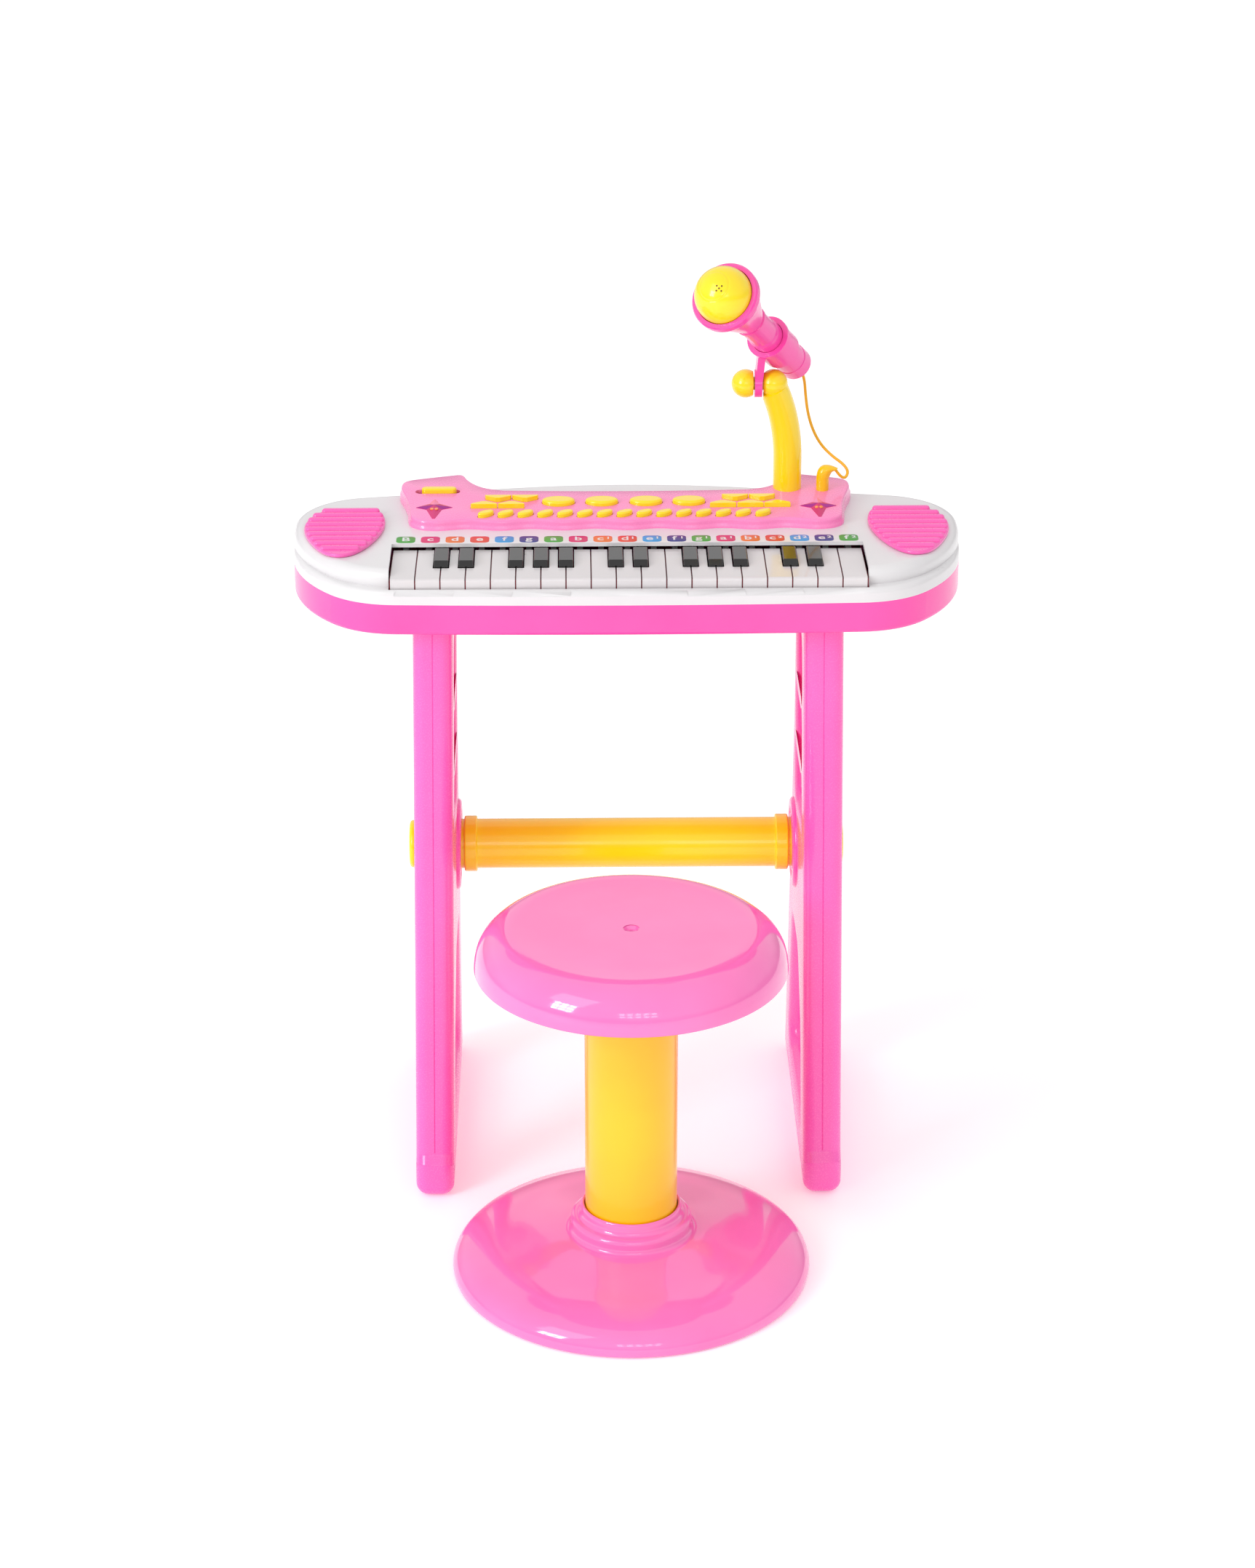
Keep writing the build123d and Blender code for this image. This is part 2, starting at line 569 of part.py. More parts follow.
def mic_head():
    """Yellow ball grille of the microphone with five sound holes."""
    radius = MIC_BALL_DIAMETER / 2
    ball = Sphere(radius) - Sphere(radius - 2.0)
    ball &= Pos(0, 0, 15) * Box(60, 60, 46)
    ball = MIC_PLANE.location * Pos(0, 0, MIC_LENGTH) * ball
    return ball


def mic_clip():
    """Pink clip: a sleeve round the barrel and a strap round the axle."""
    outer = MIC_PLANE.location * Pos(0, 0, SLEEVE_START + SLEEVE_LENGTH / 2) * Cylinder(13.4, SLEEVE_LENGTH)
    bore = MIC_PLANE.location * Pos(0, 0, SLEEVE_START + SLEEVE_LENGTH / 2) * Cylinder(11.3, SLEEVE_LENGTH + 20)
    lip = MIC_PLANE.location * Pos(0, 0, SLEEVE_START + SLEEVE_LENGTH - 1.5) * Cylinder(14.8, 3.0)
    strap = bar_x(STRAP_X - STRAP_WIDTH / 2, STRAP_X + STRAP_WIDTH / 2, AXLE_Y, AXLE_Z, 19.0)
    foot = MIC_TAIL + MIC_AXIS * (SLEEVE_START + SLEEVE_LENGTH * 0.7)
    neck_end = Vector(STRAP_X, AXLE_Y, AXLE_Z)
    neck_start = foot + Vector(-6.5, 0, -8.0)
    neck = Solid.extrude(make_face(Plane(origin=neck_end, z_dir=(neck_start - neck_end).normalized(),
                                         x_dir=(1, 0, 0)).location * Rectangle(STRAP_WIDTH, 13)).face(),
                         neck_start - neck_end)
    clip = outer + lip + neck + strap
    return clip - bore - bar_x(60, 120, AXLE_Y, AXLE_Z, AXLE_DIAMETER + 0.5)


def mic_stand_arm():
    """Yellow arm: a round bar that rises, bends to the left and ends in a ball and axle."""
    base = (ARM_BASE[0], ARM_BASE[1], PLATEAU_Z - 2)
    top = (AXLE_RIGHT_X + 1.0, AXLE_Y, AXLE_Z - 3)
    straight = Line(base, (ARM_BASE[0], ARM_BASE[1], 500))
    bend = TangentArc((ARM_BASE[0], ARM_BASE[1], 500), top, tangent=(0, 0, 1))
    path = Wire([straight, bend])
    section = Plane(origin=base, z_dir=(0, 0, 1)) * Circle(ARM_DIAMETER / 2)
    arm = sweep(section, path=path)
    arm += Pos(AXLE_RIGHT_X + 1.0, AXLE_Y, AXLE_Z) * Sphere(BALL_DIAMETER / 2)
    arm -= box(STRAP_X - 20, STRAP_X + STRAP_WIDTH / 2 + CLIP_GAP, 60, 160, 540, 600)
    return arm + bar_x(AXLE_LEFT_X - 4, AXLE_RIGHT_X, AXLE_Y, AXLE_Z, AXLE_DIAMETER)


def mic_stand_cap():
    """Yellow ball cap pressed on the axle's free end, turned about the axle."""
    radius = BALL_DIAMETER / 2
    flat = STRAP_X - STRAP_WIDTH / 2 - CLIP_GAP
    rim = math.sqrt(radius ** 2 - (flat - AXLE_LEFT_X) ** 2)
    bore = AXLE_DIAMETER / 2 + 0.025
    floor = AXLE_LEFT_X - 4.1
    shoulder = (AXLE_LEFT_X - radius * math.cos(math.pi / 4), radius * math.sin(math.pi / 4))
    half = face_of(ThreePointArc((AXLE_LEFT_X - radius, 0), shoulder, (AXLE_LEFT_X, radius)),
                   ThreePointArc((AXLE_LEFT_X, radius), (AXLE_LEFT_X + 2.5, math.sqrt(radius ** 2 - 6.25)),
                                 (flat, rim)),
                   Line((flat, rim), (flat, bore)), Line((flat, bore), (floor, bore)),
                   Line((floor, bore), (floor, 0)), Line((floor, 0), (AXLE_LEFT_X - radius, 0)))
    return Pos(0, AXLE_Y, AXLE_Z) * revolve(half, Axis.X, 360)


# ---------------------------------------------------------------- cord and plug
CORD_POINTS = [
    MIC_TAIL, MIC_TAIL - MIC_AXIS * 7.0, Vector(124.6, 145.5, 549.0), Vector(125.4, 144.0, 538.0),
    Vector(127.0, 140.5, 526.0), Vector(130.5, 136.0, 515.0), Vector(136.0, 131.0, 506.0),
    Vector(143.6, 126.0, 499.5), Vector(150.6, 122.0, 495.5), Vector(154.4, 118.0, 491.4),
    Vector(152.6, 115.5, 487.0), Vector(148.6, 113.6, 488.4), PLUG_TIP]


def cord():
    """The microphone's lead: straight runs joined by the largest arcs that fit."""
    radii = []
    for before, here, after in zip(CORD_POINTS, CORD_POINTS[1:], CORD_POINTS[2:]):
        into = here - before
        out = after - here
        half_turn = math.radians(into.get_angle(out)) / 2
        radii.append(0.45 * min(into.length, out.length) / math.tan(half_turn))
    path = FilletPolyline(*CORD_POINTS, radius=radii)
    start = Plane(origin=CORD_POINTS[0], z_dir=(CORD_POINTS[1] - CORD_POINTS[0]).normalized())
    tube = sweep(start * Circle(CORD_DIAMETER / 2), path=path)
    section = math.pi * CORD_DIAMETER ** 2 / 4
    print("cord length", round(path.length, 1), "volume ratio", round(tube.volume / section / path.length, 4))
    print("cord radii", [round(r, 1) for r in radii])
    return tube


def mic_plug():
    """Yellow elbow plug: upright stem, tapering elbow and a nose where the cord enters."""
    x, y = PLUG_BASE
    stem = disc(x, y, PLATEAU_Z, 488, PLUG_DIAMETER)
    pin = disc(x, y, PLATEAU_Z - 12, PLATEAU_Z + 0.1, 3.5)
    into = (CORD_POINTS[-1] - CORD_POINTS[-2]).normalized()
    low = Plane(origin=(x, y, 487.9), z_dir=(0, 0, 1), x_dir=(1, 0, 0)) * Circle(PLUG_DIAMETER / 2)
    knee = Plane(origin=(x + 2.8, y, 494.2), z_dir=(0.62, 0, 0.78), x_dir=(0.78, 0, -0.62)) * Circle(4.1)
    nose = Plane(origin=PLUG_TIP, z_dir=-into, x_dir=(0, 1, 0)) * Circle(1.9)
    elbow = loft([low.face(), knee.face(), nose.face()])
    return stem + pin + elbow


# ---------------------------------------------------------------- stool
def turned_stool(points):
    """Solid of revolution about the stool's axis."""
    ring = Polyline(*[(r, 0, z) for r, z in points], close=True)
    return Pos(0, STOOL_Y, 0) * revolve(make_face(ring), Axis.Z, 360)


def stool_seat():
    """Pink dished seat with a rolled rim and a sleeve for the post."""
    r = SEAT_RADIUS
    z = SEAT_BOTTOM_Z
    top = SEAT_TOP_Z
    return turned_stool([(r - 2, z), (r, z + 1), (r, z + 8), (r - 1.5, z + 14), (r - 5, z + 20), (r - 11, z + 25.5),
                         (r - 19, top), (r - 30, top - 0.6), (8, top - 0.6), (5.5, top - 2.6), (0, top - 2.8),
                         (0, top - 6), (31.6, top - 6), (31.6, z + 2), (35, z + 2), (35, top - 4.4),
                         (r - 20, top - 3.8), (r - 12.5, z + 22.4), (r - 7.5, z + 17.5), (r - 4.2, z + 12.5),
                         (r - 3, z + 7), (r - 3, z)])


def stool_post():
    """Yellow tube between base and seat."""
    tube = disc(0, STOOL_Y, 5, SEAT_TOP_Z - 6, POST_DIAMETER)
    return tube - disc(0, STOOL_Y, 0, SEAT_TOP_Z, POST_DIAMETER - 6)


def stool_base():
    """Pink domed base with a stepped collar round the post."""
    r = STOOL_RADIUS
    return turned_stool([(r - 5, 0), (r - 1.2, 0), (r, 2.5), (r - 0.4, 9), (r - 3, 13.5), (r - 8, 16.5), (r - 30, 23.5),
                         (58, 28.5), (44, 30.6), (41.5, 32), (41.2, 38), (39, 41), (36, 42), (34.4, 44),
                         (33.9, 48.5), (33, 50), (31.6, 49.4), (31.6, 5), (0, 5), (0, 1.5), (35, 1.5), (35, 27.4),
                         (57, 25.5), (r - 31, 20.5), (r - 9.5, 13.6), (r - 5, 11), (r - 4, 8)])


# ---------------------------------------------------------------- write all the nodes
write("upper_case", upper_case())
write("lower_case", lower_case())
write("control_panel", control_panel())
write("speaker_grilles", speaker_grille(-1), speaker_grille(1))
write("speakers", speaker(-1), speaker(1))
write("circuit_boards", box(-60, 60, 90, 140, BOARD_Z, BOARD_Z + 1.6),
      box(-150, 150, 0, 16, CONTACT_STRIP_Z, CONTACT_STRIP_Z + 2.0))
write("key_pivot_rod", bar_x(-162.5, 162.5, PIVOT_Y, PIVOT_Z, PIVOT_ROD))
write("battery_cover", battery_cover())
write("batteries", *batteries())
write("case_screws", *case_screws())

large, cluster, leaves = button_plans()
row = LARGE_ROW_Y
write("large_buttons", *button_group(large, large_button_places(), [(-58, 54, row - 4, row + 4)], 2.0))
near, far = CLUSTER_FRONT_Y + 2, CLUSTER_BACK_Y - 2
write("cluster_buttons", *button_group(cluster, cluster_button_places(),
                                       [(-103, -62, near, far), (60, 109, near, far)], 0.35))
row = LEAF_ROW_Y
write("leaf_buttons", *button_group(leaves, leaf_button_places(), [(-100, 98, row - 2, row + 2)], 1.4))
write("power_switch_knob", power_switch_knob())
write("indicator_lenses", indicator_lens(-1), indicator_lens(1))

write("left_leg", leg(-1))
write("right_leg", leg(1))
write("crossbar", crossbar())
write("crossbar_caps", crossbar_cap(-1), crossbar_cap(1))

write("mic_stand_arm", mic_stand_arm())
write("mic_stand_cap", mic_stand_cap())
write("mic_clip", mic_clip())
write("mic_body", mic_body())
write("mic_head", mic_head())
write("mic_cord", cord())
write("mic_plug", mic_plug())

write("stool_seat", stool_seat())
write("stool_post", stool_post())
write("stool_base", stool_base())

for index in range(WHITE_KEYS):
    write("white_key_%02d" % (index + 1), white_key(index))
for number, boundary in enumerate(BLACK_AFTER):
    write("black_key_%02d" % (number + 1), black_key(boundary))
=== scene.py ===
"""Looks of the toy electronic keyboard with its stand, microphone and stool."""
import math

import bpy
import bmesh
from mathutils import Euler, Matrix, Vector


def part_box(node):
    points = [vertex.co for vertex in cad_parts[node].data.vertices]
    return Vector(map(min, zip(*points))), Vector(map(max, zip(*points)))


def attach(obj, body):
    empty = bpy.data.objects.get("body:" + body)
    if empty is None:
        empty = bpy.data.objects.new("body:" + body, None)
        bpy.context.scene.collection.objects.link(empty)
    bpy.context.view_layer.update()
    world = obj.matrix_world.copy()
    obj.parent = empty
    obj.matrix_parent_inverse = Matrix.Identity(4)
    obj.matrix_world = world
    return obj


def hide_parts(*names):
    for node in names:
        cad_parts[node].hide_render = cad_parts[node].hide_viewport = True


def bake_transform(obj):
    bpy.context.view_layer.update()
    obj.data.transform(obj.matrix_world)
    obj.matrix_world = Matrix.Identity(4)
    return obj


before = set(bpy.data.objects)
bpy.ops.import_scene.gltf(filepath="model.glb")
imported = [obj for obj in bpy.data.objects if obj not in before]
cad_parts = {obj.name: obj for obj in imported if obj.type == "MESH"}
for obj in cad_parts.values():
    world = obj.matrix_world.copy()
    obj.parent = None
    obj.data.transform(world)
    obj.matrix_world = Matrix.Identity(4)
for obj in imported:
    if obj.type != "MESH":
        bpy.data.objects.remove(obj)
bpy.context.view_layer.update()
MM = 0.001


# ---------------------------------------------------------------- camera, lights and floor
IMAGE_HEIGHT = 2156.0
FOCAL_PIXELS = 5000.0
SENSOR = 36.0
CAMERA_AT = (-0.0371, -2.2700, 1.2759)
CAMERA_YAW = 0.916        # degrees to the right
CAMERA_PITCH = 22.984     # degrees down
ROOM_LIGHT = 0.88         # how brightly the surroundings light the toy
PAPER_LIGHT = 1.02        # how bright the surroundings look to the camera
FLOOR_SIZE = 14
FLOOR_DROP = 0.0004       # metres below the feet
FLOOR_GLOW = 0.22


def add_camera():
    """Camera at the photographer's place, with no shift and no depth of field."""
    data = bpy.data.cameras.new("camera")
    data.sensor_width = SENSOR
    data.lens = FOCAL_PIXELS / IMAGE_HEIGHT * SENSOR
    data.clip_end = 50
    camera = bpy.data.objects.new("camera", data)
    camera.location = CAMERA_AT
    camera.rotation_euler = Euler((math.radians(90 - CAMERA_PITCH), 0, math.radians(-CAMERA_YAW)))
    bpy.context.scene.collection.objects.link(camera)
    bpy.context.scene.camera = camera


def add_area(name, place, aim, size, power, size_y=None):
    """A soft white rectangular light that looks at a point."""
    data = bpy.data.lights.new(name, "AREA")
    data.shape = "RECTANGLE"
    data.size = size
    data.size_y = size_y or size
    data.energy = power
    light = bpy.data.objects.new(name, data)
    light.location = place
    light.rotation_euler = (Vector(aim) - Vector(place)).to_track_quat("-Z", "Y").to_euler()
    bpy.context.scene.collection.objects.link(light)


def add_window(name, centre, aim, columns, rows, pane, gap, power):
    """A window of separate bright panes, which show as small bright squares in glossy plastic."""
    facing = (Vector(aim) - Vector(centre)).normalized()
    across = facing.cross(Vector((0, 0, 1))).normalized()
    upward = across.cross(facing)
    wide, tall = pane
    for column in range(columns):
        for row in range(rows):
            step_x = (column - (columns - 1) / 2) * (wide + gap)
            step_y = (row - (rows - 1) / 2) * (tall + gap)
            place = Vector(centre) + across * step_x + upward * step_y
            add_area("%s_%d_%d" % (name, column, row), place, place + facing, wide, power, tall)


def add_world():
    """White surroundings: pure white to the eye, a little darker round the horizon for reflections."""
    world = bpy.data.worlds.new("studio")
    world.use_nodes = True
    nodes, links = world.node_tree.nodes, world.node_tree.links
    room = nodes["Background"]
    place = nodes.new("ShaderNodeTexCoord")
    split = nodes.new("ShaderNodeSeparateXYZ")
    links.new(place.outputs["Generated"], split.inputs["Vector"])
    clutter = nodes.new("ShaderNodeTexNoise")
    clutter.inputs["Scale"].default_value = 2.4
    clutter.inputs["Detail"].default_value = 3
    links.new(place.outputs["Generated"], clutter.inputs["Vector"])
    height = nodes.new("ShaderNodeMath")
    height.operation = "MULTIPLY_ADD"
    height.inputs[1].default_value = 0.5
    links.new(clutter.outputs["Fac"], height.inputs[0])
    links.new(split.outputs["Z"], height.inputs[2])
    ramp = nodes.new("ShaderNodeValToRGB")
    ramp.color_ramp.elements[0].position = 0.30
    ramp.color_ramp.elements[0].color = (0.50, 0.46, 0.48, 1)
    ramp.color_ramp.elements[1].position = 0.52
    ramp.color_ramp.elements[1].color = (1, 1, 1, 1)
    links.new(height.outputs["Value"], ramp.inputs["Fac"])
    links.new(ramp.outputs["Color"], room.inputs["Color"])
    room.inputs["Strength"].default_value = ROOM_LIGHT
    paper = nodes.new("ShaderNodeBackground")
    paper.inputs["Color"].default_value = (1, 1, 1, 1)
    paper.inputs["Strength"].default_value = PAPER_LIGHT
    sort = nodes.new("ShaderNodeMixShader")
    ray = nodes.new("ShaderNodeLightPath")
    links.new(ray.outputs["Is Camera Ray"], sort.inputs["Fac"])
    links.new(room.outputs["Background"], sort.inputs[1])
    links.new(paper.outputs["Background"], sort.inputs[2])
    links.new(sort.outputs["Shader"], nodes["World Output"].inputs["Surface"])
    bpy.context.scene.world = world


def add_studio():
    """Soft room light, a left window, a faint row of windows in front, and a white floor."""
    add_world()
    add_window("window_left", centre=(-2.3, -1.9, 1.55), aim=(0, -0.1, 0.3), columns=3, rows=3,
               pane=(0.26, 0.30), gap=0.05, power=3.4)
    add_window("window_front", centre=(0.25, -3.6, 1.75), aim=(0, 0, 0.3), columns=5, rows=2,
               pane=(0.24, 0.34), gap=0.12, power=0.9)
    add_area("key_left", place=(-1.5, -1.2, 2.2), aim=(0, 0, 0.3), size=1.2, power=7)
    bpy.ops.mesh.primitive_plane_add(size=FLOOR_SIZE, location=(0, 0, -FLOOR_DROP))
    floor = bpy.context.object
    floor.name = "floor"
    surface = bpy.data.materials.new("floor_paper")
    surface.use_nodes = True
    shader = surface.node_tree.nodes["Principled BSDF"]
    shader.inputs["Base Color"].default_value = (0.95, 0.95, 0.95, 1)
    shader.inputs["Roughness"].default_value = 0.8
    shader.inputs["Emission Color"].default_value = (1, 1, 1, 1)
    shader.inputs["Emission Strength"].default_value = FLOOR_GLOW
    floor.data.materials.append(surface)


# ---------------------------------------------------------------- materials
def linear(red, green, blue):
    """Screen colour in 0 to 255 as the shader's linear colour."""
    out = []
    for value in (red, green, blue):
        c = value / 255
        out.append(c / 12.92 if c <= 0.04045 else ((c + 0.055) / 1.055) ** 2.4)
    return (*out, 1)


GRAIN_SCALE = 900.0       # noise scale of the fine surface mottling
GRAIN_DEPTH = 0.0004      # metres
COAT_ROUGHNESS = 0.04


def moulded(name, colour, shade, roughness, coat, bump=0.03, drift_scale=14.0):
    """Glossy moulded plastic: slow colour drift, fine roughness mottling and a faint surface ripple."""
    material = bpy.data.materials.new(name)
    material.use_nodes = True
    nodes = material.node_tree.nodes
    links = material.node_tree.links
    shader = nodes["Principled BSDF"]
    place = nodes.new("ShaderNodeTexCoord")
    drift = nodes.new("ShaderNodeTexNoise")
    drift.inputs["Scale"].default_value = drift_scale
    drift.inputs["Detail"].default_value = 3
    links.new(place.outputs["Object"], drift.inputs["Vector"])
    ramp = nodes.new("ShaderNodeValToRGB")
    ramp.color_ramp.elements[0].position = 0.32
    ramp.color_ramp.elements[0].color = shade
    ramp.color_ramp.elements[1].position = 0.66
    ramp.color_ramp.elements[1].color = colour
    links.new(drift.outputs["Fac"], ramp.inputs["Fac"])
    links.new(ramp.outputs["Color"], shader.inputs["Base Color"])
    fine = nodes.new("ShaderNodeTexNoise")
    fine.inputs["Scale"].default_value = GRAIN_SCALE
    fine.inputs["Detail"].default_value = 4
    links.new(place.outputs["Object"], fine.inputs["Vector"])
    spread = nodes.new("ShaderNodeMapRange")
    spread.inputs["To Min"].default_value = roughness * 0.8
    spread.inputs["To Max"].default_value = roughness * 1.25
    links.new(fine.outputs["Fac"], spread.inputs["Value"])
    links.new(spread.outputs["Result"], shader.inputs["Roughness"])
    relief = nodes.new("ShaderNodeBump")
    relief.inputs["Strength"].default_value = bump
    relief.inputs["Distance"].default_value = GRAIN_DEPTH
    links.new(fine.outputs["Fac"], relief.inputs["Height"])
    links.new(relief.outputs["Normal"], shader.inputs["Normal"])
    shader.inputs["Coat Weight"].default_value = coat
    shader.inputs["Coat Roughness"].default_value = COAT_ROUGHNESS
    shader.inputs["IOR"].default_value = 1.5
    return material


WHITE = moulded("white_plastic", linear(226, 224, 225), linear(221, 219, 221), 0.30, 0.35)
PINK = moulded("pink_plastic", linear(252, 76, 172), linear(249, 68, 166), 0.24, 0.4)
PANEL_PINK = moulded("panel_plastic", linear(255, 140, 198), linear(253, 132, 192), 0.26, 0.4)
GRILLE_PINK = moulded("grille_plastic", linear(250, 104, 186), linear(246, 96, 180), 0.28, 0.35)
LEG_PINK = moulded("leg_plastic", linear(255, 104, 192), linear(253, 96, 187), 0.26, 0.3)
STOOL_PINK = moulded("stool_plastic", linear(252, 124, 194), linear(250, 116, 188), 0.10, 0.8)
YELLOW = moulded("yellow_plastic", linear(255, 226, 10), linear(254, 220, 6), 0.22, 0.5)
AMBER = moulded("amber_plastic", linear(255, 205, 0), linear(253, 196, 0), 0.24, 0.4)
BAR_AMBER = moulded("crossbar_plastic", linear(255, 238, 0), linear(254, 232, 0), 0.24, 0.4)
KEY_WHITE = moulded("key_white", linear(218, 213, 214), linear(212, 207, 209), 0.22, 0.4)
KEY_BLACK = moulded("key_black", linear(14, 13, 14), linear(9, 9, 10), 0.14, 0.25)
LENS = moulded("lens_magenta", linear(214, 0, 112), linear(196, 0, 104), 0.35, 0.05)
CORD = moulded("cord_rubber", linear(248, 188, 20), linear(240, 176, 12), 0.4, 0.1)
BOARD = moulded("board_green", linear(30, 110, 60), linear(24, 92, 50), 0.4, 0.2)
SPEAKER = moulded("speaker_dark", linear(40, 40, 42), linear(28, 28, 30), 0.6, 0.0)
CELL = moulded("cell_jacket", linear(60, 66, 78), linear(40, 44, 54), 0.3, 0.3)
STEEL = moulded("steel", linear(190, 190, 192), linear(170, 170, 174), 0.3, 0.0)
STEEL.node_tree.nodes["Principled BSDF"].inputs["Metallic"].default_value = 1.0
LENS_PALE = moulded("lens_pale", linear(252, 128, 186), linear(248, 112, 176), 0.22, 0.2)
LENS_VIOLET = moulded("lens_violet", linear(168, 0, 140), linear(150, 0, 128), 0.35, 0.05)
# painted highlight: orange for the small glints seen in the indicator lenses
GLINT_ORANGE = moulded("painted_glint_orange", linear(255, 150, 70), linear(250, 130, 60), 0.2, 0.5)
# painted shade: dark red for the shadow seen down the gaps between the keys
GAP_SHADE_RED = moulded("painted_gap_shade", linear(120, 24, 40), linear(96, 16, 30), 0.4, 0.1)
# painted shade: dark yellow for the shade inside the microphone's sound holes
HOLE_SHADE = moulded("painted_hole_shade", linear(120, 84, 0), linear(96, 66, 0), 0.6, 0.0)

CAD_LOOKS = {
    "upper_case": WHITE, "lower_case": PINK, "control_panel": PANEL_PINK, "speaker_grilles": GRILLE_PINK,
    "speakers": SPEAKER, "circuit_boards": BOARD, "key_pivot_rod": STEEL, "battery_cover": PINK,
    "batteries": CELL, "case_screws": STEEL, "large_buttons": YELLOW, "cluster_buttons": YELLOW,
    "leaf_buttons": YELLOW, "power_switch_knob": YELLOW, "indicator_lenses": LENS, "left_leg": LEG_PINK,
    "right_leg": LEG_PINK, "crossbar": BAR_AMBER, "crossbar_caps": BAR_AMBER, "mic_stand_arm": YELLOW,
    "mic_stand_cap": YELLOW, "mic_clip": PINK, "mic_body": PINK, "mic_head": YELLOW, "mic_cord": CORD,
    "mic_plug": AMBER, "stool_seat": STOOL_PINK, "stool_post": AMBER, "stool_base": STOOL_PINK,
}


def dress_cad():
    """Give every CAD node its material."""
    for name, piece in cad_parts.items():
        look = CAD_LOOKS.get(name) or (KEY_WHITE if name.startswith("white_key") else KEY_BLACK)
        piece.data.materials.clear()
        piece.data.materials.append(look)


# ---------------------------------------------------------------- mesh helpers
def arc_corner(before, corner, after, radius, steps):
    """Points of the arc that rounds one corner of an outline."""
    a, b, c = Vector(before), Vector(corner), Vector(after)
    into, out = (a - b).normalized(), (c - b).normalized()
    half = into.angle(out) / 2
    if radius <= 0 or abs(half - math.pi / 2) < 0.01:
        return [tuple(b)]
    reach = min(radius / math.tan(half), 0.49 * (a - b).length, 0.49 * (c - b).length)
    radius = reach * math.tan(half)
    centre = b + (into + out).normalized() * (radius / math.sin(half))
    start, end = b + into * reach - centre, b + out * reach - centre
    turn = start.angle_signed(end)
    points = []
    for k in range(steps + 1):
        angle = -turn * k / steps
        cosine, sine = math.cos(angle), math.sin(angle)
        points.append((centre.x + start.x * cosine - start.y * sine,
                       centre.y + start.x * sine + start.y * cosine))
    return points


def rounded(corners, steps=8, closed=True):
    """An outline in millimetres from (a, b, radius) corners, each rounded by an arc."""
    points = []
    count = len(corners)
    for k, (a, b, radius) in enumerate(corners):
        if not closed and k in (0, count - 1):
            points.append((a, b))
            continue
        points += arc_corner(corners[k - 1][:2], (a, b), corners[(k + 1) % count][:2], radius, steps)
    return points


def flowing(points, steps=6):
    """A smooth open line through the given points."""
    padded = [points[0]] + list(points) + [points[-1]]
    line = []
    for p0, p1, p2, p3 in zip(padded, padded[1:], padded[2:], padded[3:]):
        for k in range(steps):
            t = k / steps
            line.append(tuple(0.5 * (2 * b + (c - a) * t + (2 * a - 5 * b + 4 * c - d) * t ** 2
                                     + (3 * b - a - 3 * c + d) * t ** 3)
                              for a, b, c, d in zip(p0, p1, p2, p3)))
    return line + [tuple(points[-1])]


def keep(mesh, name, look, angle=35):
    """A linked object for a finished mesh, smooth where its faces nearly agree."""
    mesh.name = name
    mesh.shade_smooth()
    mesh.set_sharp_from_angle(angle=math.radians(angle))
    mesh.materials.clear()
    mesh.materials.append(look)
    piece = bpy.data.objects.new(name, mesh)
    bpy.context.scene.collection.objects.link(piece)
    return piece


def slab(outlines, thickness, rounding, steps=4):
    """Mesh of a plate in the XY plane, in millimetres, with its rims rounded over on both faces."""
    data = bpy.data.curves.new("slab", "CURVE")
    data.dimensions = "2D"
    data.fill_mode = "BOTH"
    data.extrude = thickness / 2 - rounding
    data.bevel_depth = rounding
    data.bevel_resolution = steps
    data.offset = -rounding
    for outline in outlines:
        spline = data.splines.new("POLY")
        spline.points.add(len(outline) - 1)
        for point, (x, y) in zip(spline.points, outline):
            point.co = (x, y, 0, 1)
        spline.use_cyclic_u = True
    helper = bpy.data.objects.new("slab", data)
    bpy.context.scene.collection.objects.link(helper)
    mesh = bpy.data.meshes.new_from_object(helper)
    bpy.data.objects.remove(helper)
    merge = bmesh.new()
    merge.from_mesh(mesh)
    bmesh.ops.remove_doubles(merge, verts=merge.verts, dist=0.001)
    merge.to_mesh(mesh)
    merge.free()
    return mesh


def lathe(profile, steps=128, closed=True):
    """Mesh turned about Z from (radius, height) pairs in millimetres."""
    form = bmesh.new()
    rings = []
    for radius, height in profile:
        if radius < 0.001:
            rings.append([form.verts.new((0, 0, height))] * steps)
            continue
        turns = [2 * math.pi * k / steps for k in range(steps)]
        rings.append([form.verts.new((radius * math.cos(a), radius * math.sin(a), height)) for a in turns])
    pairs = list(zip(rings, rings[1:]))
    if closed:
        pairs.append((rings[-1], rings[0]))
    for low, high in pairs:
        for k in range(steps):
            n = (k + 1) % steps
            corners = []
            for vertex in (low[k], low[n], high[n], high[k]):
                if vertex not in corners:
                    corners.append(vertex)
            if len(corners) > 2:
                form.faces.new(corners)
    bmesh.ops.recalc_face_normals(form, faces=form.faces)
    mesh = bpy.data.meshes.new("turned")
    form.to_mesh(mesh)
    form.free()
    return mesh


def ring_faces(form, upper, lower):
    """Close the band between two rings of as many vertices."""
    count = len(upper)
    for k in range(count):
        n = (k + 1) % count
        form.faces.new((upper[k], upper[n], lower[n], lower[k]))


def joined(meshes):
    """One mesh from several, each kept as it is."""
    form = bmesh.new()
    for mesh in meshes:
        form.from_mesh(mesh)
    whole = bpy.data.meshes.new("joined")
    form.to_mesh(whole)
    form.free()
    return whole


def placed(mesh, matrix):
    """The mesh moved by a matrix in millimetres."""
    mesh.transform(matrix)
    return mesh


def to_metres(mesh):
    """The mesh scaled from millimetres to metres."""
    mesh.transform(Matrix.Scale(MM, 4))
    return mesh


def box_mm(node):
    """Lowest and highest corner of a CAD node, in millimetres."""
    low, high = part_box(node)
    return low / MM, high / MM


# ---------------------------------------------------------------- stool
STOOL_STEPS = 160          # sides of each turned shell


